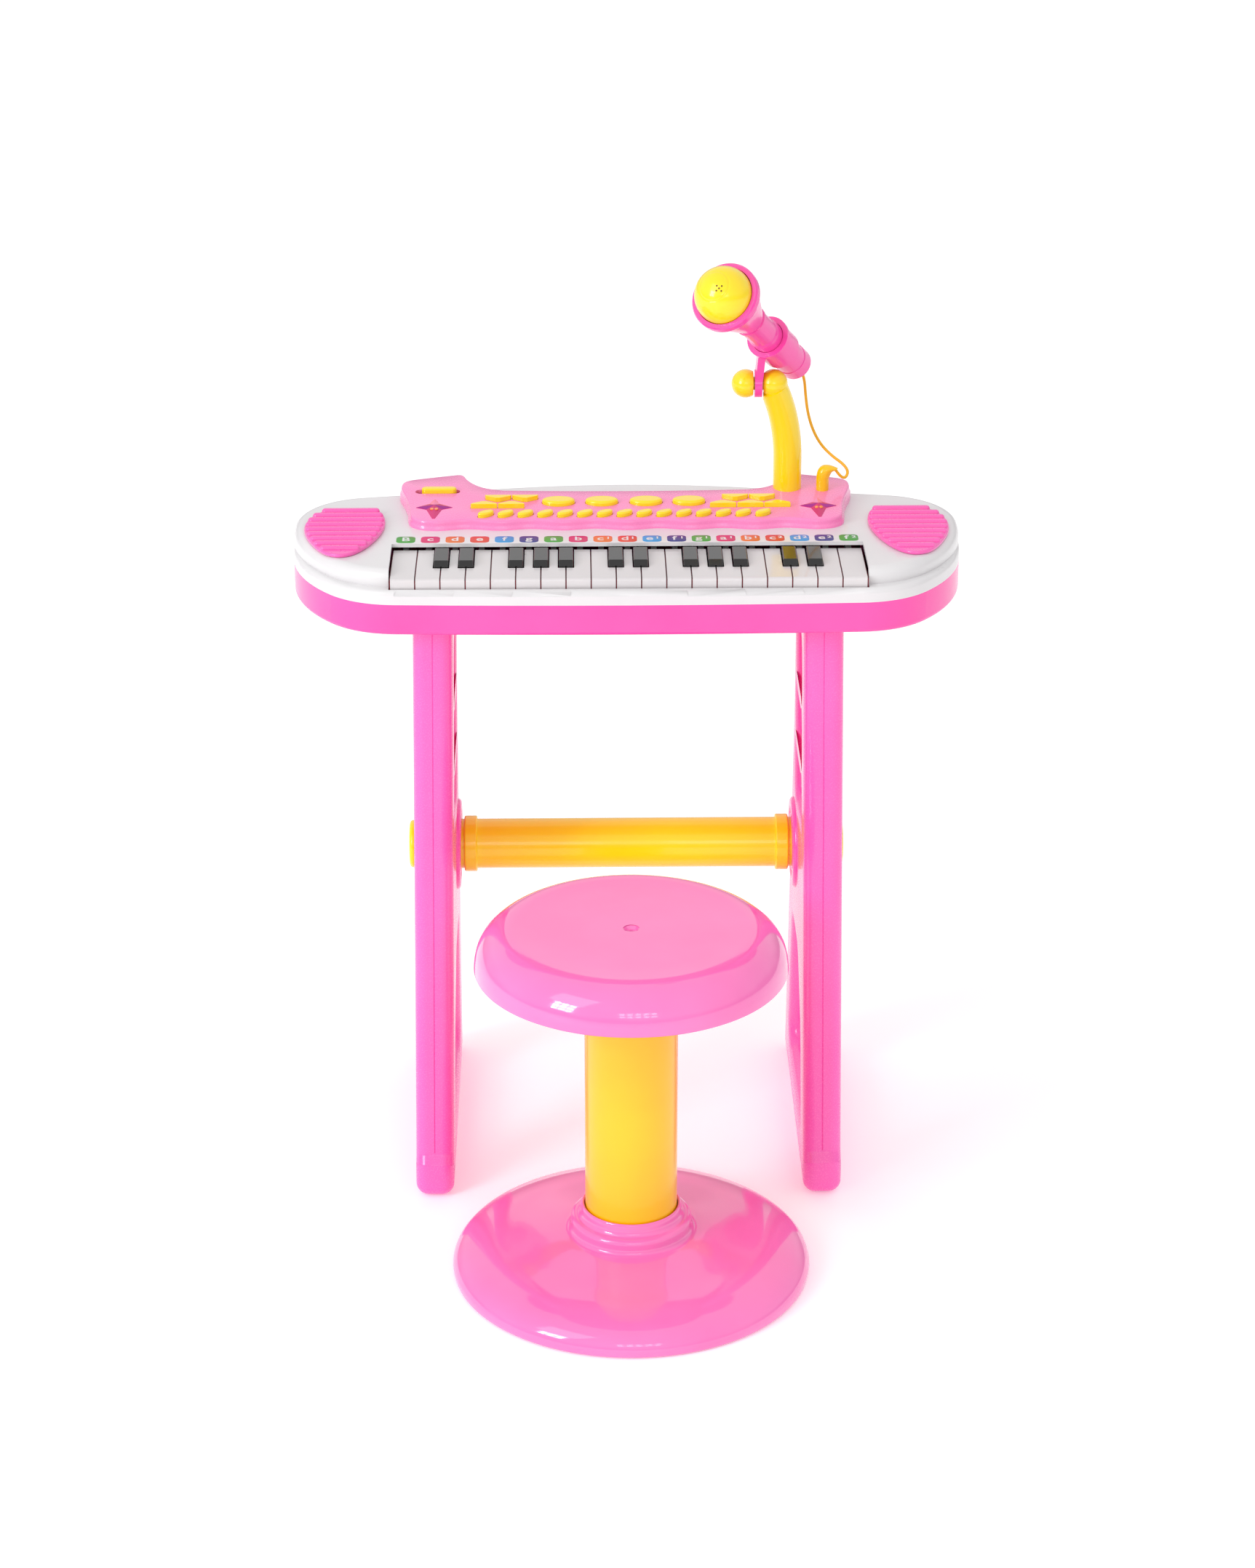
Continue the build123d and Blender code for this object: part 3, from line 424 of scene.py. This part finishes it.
def add_stool():
    """Soft-edged seat and domed base, turned about the post."""
    low, high = box_mm("stool_seat")
    middle = (low + high) / 2
    axis = Matrix.Translation((middle.x, middle.y, 0))
    r, z, top = (high.x - low.x) / 2, low.z, high.z
    outer = flowing([(0, top - 2.9), (2.6, top - 2.8), (4.6, top - 1.6), (6.6, top - 0.7), (10, top - 0.55),
                     (r - 46, top - 0.5), (r - 32, top - 0.25), (r - 24, top - 0.1), (r - 18, top - 1.0),
                     (r - 11.5, top - 4.2), (r - 6, top - 9.2), (r - 2.3, top - 15.5), (r - 0.7, z + 7.5),
                     (r - 0.15, z + 3.2), (r - 0.1, z + 1.0), (r - 0.9, z + 0.1)])
    under = [(r - 2.6, z + 0.1), (r - 3, z + 7), (r - 4.4, z + 12), (r - 8, z + 17), (r - 13, z + 22),
             (r - 20, top - 3.9), (35, top - 4.4), (35, z + 2), (31.7, z + 2), (31.7, top - 6), (0, top - 6)]
    turned = placed(lathe(outer + under, STOOL_STEPS, closed=False), axis)
    seat = keep(to_metres(turned), "stool_seat_shell", STOOL_PINK)
    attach(seat, "stool")
    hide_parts("stool_seat")
    low, high = box_mm("stool_base")
    r, top = (high.x - low.x) / 2, high.z
    outer = flowing([(31.8, top - 0.9), (33.0, top - 0.1), (34.0, top - 1.6), (34.6, top - 6),
                     (36.2, top - 8.2), (38.8, top - 9.0), (40.9, top - 11.0), (41.3, top - 16.5),
                     (43.4, top - 19.0), (50, top - 20.2), (62, top - 22.4), (78, top - 25.2),
                     (r - 29, top - 27.4), (r - 18, top - 30.2), (r - 9, top - 33.8), (r - 3.2, top - 38.2),
                     (r - 0.6, 7.4), (r - 0.1, 4.0), (r - 0.5, 1.4), (r - 2.0, 0.1)])
    under = [(r - 5, 0.1), (r - 5.2, 8), (r - 9.5, 12.6), (r - 31, 19.5), (57, 24.5), (35, 26.4), (35, 1.5),
             (0, 1.5), (0, 4.9), (31.7, 4.9)]
    base = keep(to_metres(placed(lathe(outer + under, STOOL_STEPS), axis)), "stool_base_shell", STOOL_PINK)
    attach(base, "stool")
    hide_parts("stool_base")


# ---------------------------------------------------------------- legs
LEG_SPLAY = 0.86          # degrees, each foot outward
LEG_MIDDLE_Z = 214.0
LEG_WIDTH = 27.0
LEG_EDGE = 8.6            # how round the leg's section is
GROOVE_WIDTH, GROOVE_DEPTH = 1.1, 0.55
LADDER = ((262, 304), (312, 352), (360, 402))
LADDER_FRONT, LADDER_CORNER = 34, 10
LEG_TOP_X = 134.0
GROOVE_FOOT_Z = 34        # the centre groove stops here
WEB_THICKNESS = 11
BAR_AT = (0, 110, 221)    # where the crossbar meets the leg
BOSS_RADIUS, BOSS_HALF = 33.0, 16.2


def leg_shape():
    """Mesh of one leg about X = 0: rounded frame, sunk web, round boss and a centre groove."""
    front, back = -12.0, 227.0
    outer = rounded([(5, 440, 0), (-1.5, 170, 90), (-7.5, 33, 4), (front, 26, 4), (front, 0, 9), (back, 0, 9),
                     (back, 16, 8), (219, 34, 24), (119, 330, 90), (101, 440, 0)], 10)
    window = rounded([(31, 32, 13), (177, 32, 13), (133, 152, 16), (69, 152, 16), (39, 110, 30)], 8)
    ladder = []
    for low, high in LADDER:
        rear = 95 - ((low + high) / 2 - 330) * 0.18
        ladder.append(rounded([(LADDER_FRONT, low, LADDER_CORNER), (rear, low, LADDER_CORNER),
                               (rear, high, LADDER_CORNER), (LADDER_FRONT, high, LADDER_CORNER)], 8))
    stand = Matrix(((0, 0, 1, 0), (1, 0, 0, 0), (0, 1, 0, 0), (0, 0, 0, 1)))
    openings = [hole[::-1] for hole in [window] + ladder]
    frame_mesh = placed(slab([outer] + openings, LEG_WIDTH, LEG_EDGE, 6), stand)
    form = bmesh.new()
    form.from_mesh(frame_mesh)
    for x in (-GROOVE_WIDTH / 2, 0, GROOVE_WIDTH / 2):
        geometry = form.verts[:] + form.edges[:] + form.faces[:]
        bmesh.ops.bisect_plane(form, geom=geometry, plane_co=(x, 0, 0), plane_no=(1, 0, 0))
    form.normal_update()
    for vertex in form.verts:
        if abs(vertex.co.x) < 0.01 and vertex.co.z > GROOVE_FOOT_Z:
            vertex.co -= vertex.normal * GROOVE_DEPTH
    form.to_mesh(frame_mesh)
    form.free()
    inner = rounded([(30, 410, 4), (30, 250, 4), (112, 250, 4), (92, 410, 4)], 4)
    web = placed(slab([inner], WEB_THICKNESS, 1.0, 2), stand)
    half, lip = BOSS_HALF, BOSS_RADIUS
    rim = rounded([(0, -half, 0), (20, -half, 0), (21.5, -half + 1.2, 1), (24, -half + 1.2, 1),
                   (26, -half, 1), (lip - 0.2, -half, 4.5), (lip, 0, 2), (lip - 0.2, half, 4.5),
                   (26, half, 1), (24, half - 1.2, 1), (21.5, half - 1.2, 1), (20, half, 0), (0, half, 0)],
                  5, closed=False)
    across = Matrix.Translation(BAR_AT) @ Matrix.Rotation(math.pi / 2, 4, "Y")
    boss = placed(lathe(rim, 96, closed=False), across)
    return joined([frame_mesh, web, boss])


def add_legs():
    """Both legs, splayed like the CAD ones."""
    for side, node in ((-1, "left_leg"), (1, "right_leg")):
        lean = Matrix.Rotation(math.radians(-side * LEG_SPLAY), 4, "Y")
        upper = Matrix.Translation((side * LEG_TOP_X, 0, LEG_MIDDLE_Z))
        place = upper @ lean @ Matrix.Translation((0, 0, -LEG_MIDDLE_Z))
        leg = keep(to_metres(placed(leg_shape(), place)), node + "_shell", LEG_PINK)
        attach(leg, "root")
        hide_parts(node)


# ---------------------------------------------------------------- key labels
KEY_PITCH = 16.6
KEY_COUNT = 19
LABEL_Y = 53.6
LABEL_SIZE = (12.8, 12.6)
PAPER = 0.12
PLATEAU_Z = 470.0         # the case's flat top, in front of the panel
LETTER_SIZE, DIGIT_SIZE = 10.5, 6.0
NOTE_NAMES = ("B", "c", "d", "e", "f", "g", "a", "b", "c1", "d1", "e1", "f1", "g1", "a1", "b1",
              "c2", "d2", "e2", "f2")
LABEL_COLOURS = {"green": (50, 160, 20), "magenta": (220, 0, 100), "orange": (236, 110, 0),
                 "red": (226, 56, 8), "cyan": (0, 150, 220), "indigo": (16, 30, 130)}


def ink(name, colour):
    """Printed ink with a slight unevenness."""
    shade = tuple(c * 0.93 for c in colour)
    return moulded("label_" + name, linear(*colour), linear(*shade), 0.35, 0.08, bump=0.01, drift_scale=60)


def letter_mesh(text, size, x, y, z):
    """Flat raised lettering for one label, in millimetres."""
    data = bpy.data.curves.new("note", "FONT")
    data.body = text
    data.size = size
    data.extrude = 0.03
    data.offset = 0.16
    data.align_x = "CENTER"
    data.align_y = "CENTER"
    helper = bpy.data.objects.new("note", data)
    bpy.context.scene.collection.objects.link(helper)
    mesh = bpy.data.meshes.new_from_object(helper)
    bpy.data.objects.remove(helper)
    return placed(mesh, Matrix.Translation((x, y, z)))


def add_labels():
    """A coloured sticker behind each white key with the note's letter."""
    names = list(LABEL_COLOURS)
    plates = {name: [] for name in names}
    letters = []
    letter_z = PLATEAU_Z + PAPER + 0.03
    wide, deep = LABEL_SIZE
    plan = rounded([(-wide / 2, -deep / 2, 3.2), (wide / 2, -deep / 2, 3.2), (wide / 2, deep / 2, 3.2),
                    (-wide / 2, deep / 2, 3.2)], 6)
    for k, note in enumerate(NOTE_NAMES):
        x = (k - (KEY_COUNT - 1) / 2) * KEY_PITCH
        name = names[k % len(names)]
        place = Matrix.Translation((x, LABEL_Y, PLATEAU_Z))
        plates[name].append(placed(slab([plan], PAPER * 2, PAPER / 2, 1), place))
        shift = -1.6 if len(note) > 1 else 0
        letters.append(letter_mesh(note[0], LETTER_SIZE, x + shift, LABEL_Y + 0.4, letter_z))
        if len(note) > 1:
            letters.append(letter_mesh(note[1], DIGIT_SIZE, x + 3.6, LABEL_Y + 1.6, letter_z))
    for name, meshes in plates.items():
        piece = keep(to_metres(joined(meshes)), "note_labels_" + name, ink(name, LABEL_COLOURS[name]))
        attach(piece, "root")
    text = keep(to_metres(joined(letters)), "note_letters", WHITE)
    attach(text, "root")


# ---------------------------------------------------------------- between the keys
BLACK_AFTER = (1, 2, 4, 5, 6, 8, 9, 11, 12, 13, 15, 16)
COMB_FLOOR_Z, COMB_FLOOR, COMB_TOP_Z = 452.0, 0.6, 464.4
COMB_FRONT_Y, COMB_REAR_Y, BLACK_FRONT_Y = -13.0, 44.0, 8.0
COMB_RIB = 0.62


def add_key_gap_shade():
    """Dark red comb in the gaps between the white keys, as painted shade for the shadowed gaps."""
    half = KEY_COUNT * KEY_PITCH / 2
    plate = [(-half - 0.4, COMB_FRONT_Y - 0.8), (half + 0.4, COMB_FRONT_Y - 0.8),
             (half + 0.4, COMB_REAR_Y + 1), (-half - 0.4, COMB_REAR_Y + 1)]
    floor_place = Matrix.Translation((0, 0, COMB_FLOOR_Z + COMB_FLOOR / 2))
    meshes = [placed(slab([plate], COMB_FLOOR, 0.1, 1), floor_place)]
    tall = COMB_TOP_Z - COMB_FLOOR_Z
    rib_place = Matrix.Translation((0, 0, COMB_FLOOR_Z + tall / 2))
    for boundary in range(KEY_COUNT + 1):
        x = -half + boundary * KEY_PITCH
        rear = BLACK_FRONT_Y if boundary - 1 in BLACK_AFTER else COMB_REAR_Y
        near, far = x - COMB_RIB / 2, x + COMB_RIB / 2
        rib = [(near, COMB_FRONT_Y), (far, COMB_FRONT_Y), (far, rear), (near, rear)]
        meshes.append(placed(slab([rib], tall, 0.12, 1), rib_place))
    # painted shade: the ribs stand in for the shadow between the keys
    comb = keep(to_metres(joined(meshes)), "key_gap_shade_comb", GAP_SHADE_RED)
    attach(comb, "root")


# ---------------------------------------------------------------- control panel
PANEL_FRONT_Y, PANEL_FRONT_Z, PANEL_SLOPE = 71.5, 476.5, 0.0575
SCALLOP_PITCH = 43.4
SCALLOP_DEPTH = 3.4
BUTTON_GAP = 0.35
# how far the panel's shoulder stands inwards, and how far it is down, from the top to the case
PANEL_RINGS = ((2.4, 0.0), (1.9, 0.2), (1.45, 0.7), (1.15, 1.5), (1.0, 2.6), (0.9, 3.6), (0.5, 4.6),
               (0.1, 5.4))
SCALLOP_STEPS = 96
HOLE_WALL = 3.4           # depth of a button opening's wall
LARGE_HOLES_X, LARGE_HOLES_Y, LARGE_HALF = (-46.5, -16.8, 13.6, 43.0), 105.5, (11.3, 7.2)
LEAF_FIRST_X, LEAF_PITCH, LEAF_COUNT = -96.0, 13.5, 15
LEAF_HOLES_Y, LEAF_HALF, LEAF_LEAN = 83.0, (6.3, 3.5), 38
CLUSTER_FRONT_X, CLUSTER_FRONT_Y = (-97.5, -78.8, 66.2, 85.0, 103.4), 99.0
CLUSTER_REAR_X, CLUSTER_REAR_Y = (-88.0, -69.4, 75.0, 93.6), 110.5
SLOT_HALF_X, SLOT_HALF_Y = 15.5, 3.8


def panel_height(y):
    """Height of the control panel's top at a depth, in millimetres."""
    return PANEL_FRONT_Z + (y - PANEL_FRONT_Y) * PANEL_SLOPE


def panel_plan():
    """Plan outline of the panel: scalloped front, waisted ends and two rear ears."""
    front = []
    span = 3 * SCALLOP_PITCH
    for k in range(SCALLOP_STEPS + 1):
        x = -span + 2 * span * k / SCALLOP_STEPS
        wave = (1 - math.cos(2 * math.pi * x / SCALLOP_PITCH)) / 2
        front.append((x, PANEL_FRONT_Y + SCALLOP_DEPTH * wave))
    right = flowing([(span, PANEL_FRONT_Y), (138.5, 73.0), (144.6, 77.2), (148.0, 83.0), (149.3, 92.0),
                     (149.9, 103.0), (152.3, 117.0), (155.6, 131.0), (156.7, 139.0), (155.2, 146.0),
                     (150.0, 150.6), (140.0, 154.0), (124.0, 158.6), (116.0, 160.4), (111.6, 158.0),
                     (108.6, 150.0), (103.0, 141.0), (95.5, 134.6), (85.0, 130.8)], 5)
    rear = [(x, 128.6 + 2.2 * (x / 85) ** 2) for x in (60, 30, 0, -30, -60)]
    left = [(-x, y) for x, y in reversed(right[1:])]
    return front + right[1:] + rear + left


def inset_plan(plan, amount):
    """The plan moved inwards along its own normals."""
    moved = []
    count = len(plan)
    for k, (x, y) in enumerate(plan):
        before, after = plan[k - 2], plan[(k + 2) % count]
        along = (Vector(after) - Vector(before)).normalized()
        moved.append((x - along.y * amount, y + along.x * amount))
    return moved


def oval_plan(x, y, half_x, half_y, lean=0.0, steps=40):
    """Plan of an oval button, leaning by an angle in degrees."""
    cosine, sine = math.cos(math.radians(lean)), math.sin(math.radians(lean))
    plan = []
    for k in range(steps):
        a = half_x * math.cos(2 * math.pi * k / steps)
        b = half_y * math.sin(2 * math.pi * k / steps)
        plan.append((x + a * cosine - b * sine, y + a * sine + b * cosine))
    return plan


def wedge_plan(x, y, flat_back, grow):
    """Plan of a cluster button: one long side and a blunt point opposite."""
    turn = -1 if flat_back else 1
    corners = [(-9.3 - grow, -grow), (9.3 + grow, -grow), (8.2 + grow, 2.5), (1.6, 6.4 + grow),
               (-1.6, 6.4 + grow), (-8.2 - grow, 2.5)]
    plan = rounded([(a, b, 0.6) for a, b in corners], 3)
    return [(x + turn * a, y + turn * (b - 3.2)) for a, b in plan]


def button_holes():
    """Plans of all the openings in the panel, a little larger than what moves in them."""
    gap = BUTTON_GAP
    holes = [oval_plan(x, LARGE_HOLES_Y, LARGE_HALF[0] + gap, LARGE_HALF[1] + gap) for x in LARGE_HOLES_X]
    for k in range(LEAF_COUNT):
        x = LEAF_FIRST_X + k * LEAF_PITCH
        holes.append(oval_plan(x, LEAF_HOLES_Y, LEAF_HALF[0] + gap, LEAF_HALF[1] + gap, LEAF_LEAN))
    holes += [wedge_plan(x, CLUSTER_FRONT_Y, False, gap) for x in CLUSTER_FRONT_X]
    holes += [wedge_plan(x, CLUSTER_REAR_Y, True, gap) for x in CLUSTER_REAR_X]
    knob_low, knob_high = box_mm("power_switch_knob")
    slot_x, slot_y = (knob_low.x + knob_high.x) / 2 - 1, (knob_low.y + knob_high.y) / 2
    left, right = slot_x - SLOT_HALF_X, slot_x + SLOT_HALF_X
    near, far = slot_y - SLOT_HALF_Y, slot_y + SLOT_HALF_Y
    holes.append(rounded([(left, near, 3.7), (right, near, 3.7), (right, far, 3.7), (left, far, 3.7)], 6))
    return holes


def add_panel():
    """Raised pink deck with soft shoulders, a flared skirt and real button openings."""
    plan = panel_plan()
    form = bmesh.new()
    rings = []
    for inward, drop in PANEL_RINGS:
        rings.append([form.verts.new((x, y, panel_height(y) - drop)) for x, y in inset_plan(plan, inward)])
    rings.append([form.verts.new((x, y, PLATEAU_Z)) for x, y in plan])
    count = len(plan)
    for upper, lower in zip(rings, rings[1:]):
        ring_faces(form, upper, lower)
    edges = [form.edges.get((rings[0][k], rings[0][(k + 1) % count])) for k in range(count)]
    for hole in button_holes():
        top = [form.verts.new((x, y, panel_height(y))) for x, y in hole]
        deep = [form.verts.new((x, y, panel_height(y) - HOLE_WALL)) for x, y in hole]
        size = len(hole)
        for k in range(size):
            n = (k + 1) % size
            edges.append(form.edges.new((top[k], top[n])))
            form.faces.new((top[k], top[n], deep[n], deep[k]))
    bmesh.ops.triangle_fill(form, use_beauty=True, use_dissolve=False, edges=edges)
    bmesh.ops.recalc_face_normals(form, faces=form.faces)
    mesh = bpy.data.meshes.new("panel")
    form.to_mesh(mesh)
    form.free()
    panel = keep(to_metres(mesh), "control_panel_deck", PANEL_PINK, angle=42)
    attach(panel, "root")
    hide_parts("control_panel")


# ---------------------------------------------------------------- speaker grilles
GRILLE_PLATE = 2.8
GRILLE_RIBS, RIB_FIRST_Y, RIB_PITCH = 9, 29.0, 9.6
RIB_HALF, RIB_HEIGHT, RIB_ROUND = 2.7, 4.6, 2.6
RIB_MARGIN = 0.6          # from a rib's end to the plate's edge


def edge_crossings(outline, y):
    """How far from X = 0 an outline crosses a depth."""
    found = []
    for (x0, y0), (x1, y1) in zip(outline, outline[1:]):
        if (y0 - y) * (y1 - y) <= 0 and abs(y0 - y1) > 0.001:
            found.append(abs(x0 + (x1 - x0) * (y - y0) / (y1 - y0)))
    return found


def add_grilles():
    """Egg-shaped plates, each with nine round ribs across."""
    low, high = box_mm("speaker_grilles")
    for side, word in ((-1, "left"), (1, "right")):
        egg = flowing([(-204, 112), (-209.5, 106), (-214.5, 98), (-218, 86), (-219, 74), (-217.5, 60),
                       (-213.6, 46), (-208, 32), (-201, 21.5), (-192, 17.2), (-183.5, 21.5), (-176, 33),
                       (-169.6, 50), (-165.6, 68), (-164.6, 84), (-166.2, 98), (-171, 112)], 5)
        outline = [(side * -x, y) for x, y in egg]
        plate_place = Matrix.Translation((0, 0, low.z + GRILLE_PLATE / 2))
        meshes = [placed(slab([outline], GRILLE_PLATE, 1.2, 4), plate_place)]
        for k in range(GRILLE_RIBS):
            y = RIB_FIRST_Y + k * RIB_PITCH
            across = sorted(edge_crossings(egg, y))
            if len(across) < 2:
                continue
            inner, outer = across[0] + RIB_MARGIN, across[-1] - RIB_MARGIN
            near, far = y - RIB_HALF, y + RIB_HALF
            rib = rounded([(inner, near, RIB_ROUND), (outer, near, RIB_ROUND), (outer, far, RIB_ROUND),
                           (inner, far, RIB_ROUND)], 5)
            if side < 0:
                rib = [(-a, b) for a, b in rib][::-1]
            rib_place = Matrix.Translation((0, 0, high.z - RIB_HEIGHT / 2))
            meshes.append(placed(slab([rib], RIB_HEIGHT, 2.2, 5), rib_place))
        grille = keep(to_metres(joined(meshes)), "speaker_grille_" + word, GRILLE_PINK, angle=50)
        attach(grille, "root")
        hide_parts("speaker_grilles")


# ---------------------------------------------------------------- indicator lenses
LENS_BACK, LENS_WING, LENS_NOSE = 15.5, 12.5, 19.5
LENS_Y = 97.0
LENS_LIFT, LENS_PEAK, LENS_SINK = 0.25, 1.9, 1.5    # above and below the panel's top
PALE_FACETS, VIOLET_FACETS = (0, 8), (2, 6)
GLINT_Y = LENS_Y - 4.6


def add_lenses():
    """Faceted four-pointed lenses with violet wing tips, and two small orange domes behind each as painted
    glints.
    """
    high = box_mm("indicator_lenses")[1]
    back, wing, nose = LENS_BACK, LENS_WING, LENS_NOSE
    for side, word in ((-1, "left"), (1, "right")):
        x = side * (high.x - wing)
        rim = [(0, back), (3.6, 6.6), (wing, 0.4), (5.2, -3.4), (0.9, -nose), (-0.9, -nose), (-5.2, -3.4),
               (-wing, 0.4), (-3.6, 6.6)]
        form = bmesh.new()
        base = [form.verts.new((x + a, LENS_Y + b, panel_height(LENS_Y + b) + LENS_LIFT)) for a, b in rim]
        skirt = [form.verts.new((x + a, LENS_Y + b, panel_height(LENS_Y + b) - LENS_SINK)) for a, b in rim]
        peak = form.verts.new((x, LENS_Y + 1.5, panel_height(LENS_Y) + LENS_PEAK))
        heel = form.verts.new((x, LENS_Y, panel_height(LENS_Y) - LENS_SINK))
        count = len(rim)
        for k in range(count):
            n = (k + 1) % count
            face = form.faces.new((base[n], base[k], peak))
            face.material_index = 1 if k in PALE_FACETS else 2 if k in VIOLET_FACETS else 0
            form.faces.new((base[k], base[n], skirt[n], skirt[k]))
            form.faces.new((skirt[k], skirt[n], heel))
        bmesh.ops.recalc_face_normals(form, faces=form.faces)
        mesh = bpy.data.meshes.new("lens")
        form.to_mesh(mesh)
        form.free()
        looks = [face.material_index for face in mesh.polygons]    # keep() clears them with the materials
        lens = keep(to_metres(mesh), "indicator_lens_" + word, LENS, angle=5)
        lens.data.materials.append(LENS_PALE)
        lens.data.materials.append(LENS_VIOLET)
        for face, index in zip(lens.data.polygons, looks):
            face.material_index = index
        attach(lens, "root")
        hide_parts("indicator_lenses")
        # painted highlight: two small orange domes under each lens stand in for orange glints
        glints = []
        for a in (-1.4, 1.6):
            dome = lathe(rounded([(0, 1.1, 0), (1.3, 1.1, 0.7), (1.3, 0, 0), (0, 0, 0)], 4, closed=False), 24)
            spot = Matrix.Translation((x + a, GLINT_Y, panel_height(GLINT_Y) + 0.9))
            glints.append(placed(dome, spot @ Matrix.Diagonal((1, 1.5, 0.6, 1))))
        glint_piece = keep(to_metres(joined(glints)), "painted_glint_" + word, GLINT_ORANGE)
        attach(glint_piece, "root")


# ---------------------------------------------------------------- microphone ball
MIC_TAIL = Vector((118.5, 152.0, 562.0))
MIC_TOP = Vector((63.5, 60.0, 636.7))
BALL_RADIUS, BALL_STEPS = 19.5, 60
BALL_FROM, BALL_SWEEP = -24, 114    # degrees of latitude
SEAM_AT, SEAM_HALF, SEAM_DEPTH = 58, 1.3, 0.35
HOLES_FACE = Vector((-37.1, -2270.0, 1275.9))    # a point in front that the sound holes look towards
HOLES_TURN = Vector((-0.18, 0, 0.28))
HOLES_SPREAD = 0.085


def add_mic_ball():
    """Yellow grille ball with a fine seam, and five small dark discs painted as the shade in its sound holes.
    """
    axis = (MIC_TOP - MIC_TAIL).normalized()
    turn = axis.to_track_quat("Z", "Y").to_matrix().to_4x4()
    place = Matrix.Translation(MIC_TOP) @ turn
    outline = []
    for k in range(BALL_STEPS + 1):
        angle = math.radians(BALL_FROM + BALL_SWEEP * k / BALL_STEPS)
        in_seam = abs(math.degrees(angle) - SEAM_AT) < SEAM_HALF
        swell = BALL_RADIUS - (SEAM_DEPTH if in_seam else 0)
        outline.append((max(swell * math.cos(angle), 0), swell * math.sin(angle)))
    ball_mesh = lathe(outline, 120, closed=False)
    ball = keep(to_metres(placed(ball_mesh, place)), "mic_grille_ball", YELLOW, angle=60)
    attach(ball, "microphone")
    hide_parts("mic_head")
    # painted shade: each sound hole is a dark disc on the ball, not a hollow
    pits = []
    aim = ((HOLES_FACE - MIC_TOP).normalized() + HOLES_TURN).normalized()
    side = aim.cross(Vector((0, 0, 1))).normalized()
    rise = side.cross(aim)
    for a, b in ((0, 0), (-1, -1), (1, -1), (-1, 1), (1, 1)):
        direction = (aim + side * a * HOLES_SPREAD + rise * b * HOLES_SPREAD).normalized()
        outwards = direction.to_track_quat("Z", "Y").to_matrix().to_4x4()
        spot = Matrix.Translation(MIC_TOP + direction * (BALL_RADIUS - 0.12)) @ outwards
        pits.append(placed(lathe([(0, 0.2), (0.62, 0.16), (0.62, 0), (0, 0)], 16, closed=False), spot))
    holes = keep(to_metres(joined(pits)), "mic_sound_hole_shade", HOLE_SHADE)
    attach(holes, "microphone")


# ---------------------------------------------------------------- cord
CORD_DIAMETER = 0.002
CORD_POINTS = [(0.1185, 0.1520, 0.5620), (0.12143, 0.15690, 0.55802), (0.1246, 0.1605, 0.5490),
               (0.1254, 0.1590, 0.5380), (0.1270, 0.1555, 0.5260), (0.1305, 0.1510, 0.5150),
               (0.1360, 0.1460, 0.5060), (0.1436, 0.1410, 0.4995), (0.1506, 0.1370, 0.4955),
               (0.1544, 0.1330, 0.4914), (0.1526, 0.1305, 0.4870), (0.1486, 0.1286, 0.4884),
               (0.1450, 0.1280, 0.4940)]


def route_curve(name, points):
    """A smooth curve led by the given control points."""
    data = bpy.data.curves.new(name, "CURVE")
    data.dimensions = "3D"
    spline = data.splines.new("NURBS")
    spline.points.add(len(points) - 1)
    for point, place in zip(spline.points, points):
        point.co = (*place, 1)
    spline.order_u = 3
    spline.use_endpoint_u = True
    spline.resolution_u = 12
    data.resolution_u = 12
    curve = bpy.data.objects.new(name, data)
    bpy.context.scene.collection.objects.link(curve)
    return curve


def tube(path, radius, sides=14):
    """Mesh of a round tube along a line of points, closed at both ends."""
    form = bmesh.new()
    rings = []
    across = Vector((1, 0, 0))
    last = len(path) - 1
    for k, place in enumerate(path):
        along = (path[min(k + 1, last)] - path[max(k - 1, 0)]).normalized()
        across = (across - along * across.dot(along)).normalized()
        other = along.cross(across)
        turns = [2 * math.pi * n / sides for n in range(sides)]
        spokes = [across * math.cos(a) + other * math.sin(a) for a in turns]
        rings.append([form.verts.new(place + spoke * radius) for spoke in spokes])
    for low, high in zip(rings, rings[1:]):
        ring_faces(form, low, high)
    form.faces.new(rings[0][::-1])
    form.faces.new(rings[-1])
    mesh = bpy.data.meshes.new("tube")
    form.to_mesh(mesh)
    form.free()
    return mesh


def add_cord():
    """The microphone's thin lead, from the barrel's tail to the elbow plug."""
    route = route_curve("lead_route", CORD_POINTS)
    line = bpy.data.meshes.new_from_object(route)
    path = [vertex.co.copy() for vertex in line.vertices]
    bpy.data.objects.remove(route)
    lead = keep(tube(path, CORD_DIAMETER / 2), "microphone_lead", CORD, angle=60)
    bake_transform(lead)
    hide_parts("mic_cord")


add_camera()
add_studio()
dress_cad()
add_cord()
add_stool()
add_legs()
add_labels()
add_key_gap_shade()
add_panel()
add_grilles()
add_lenses()
add_mic_ball()

bpy.context.scene.view_settings.view_transform = "Standard"
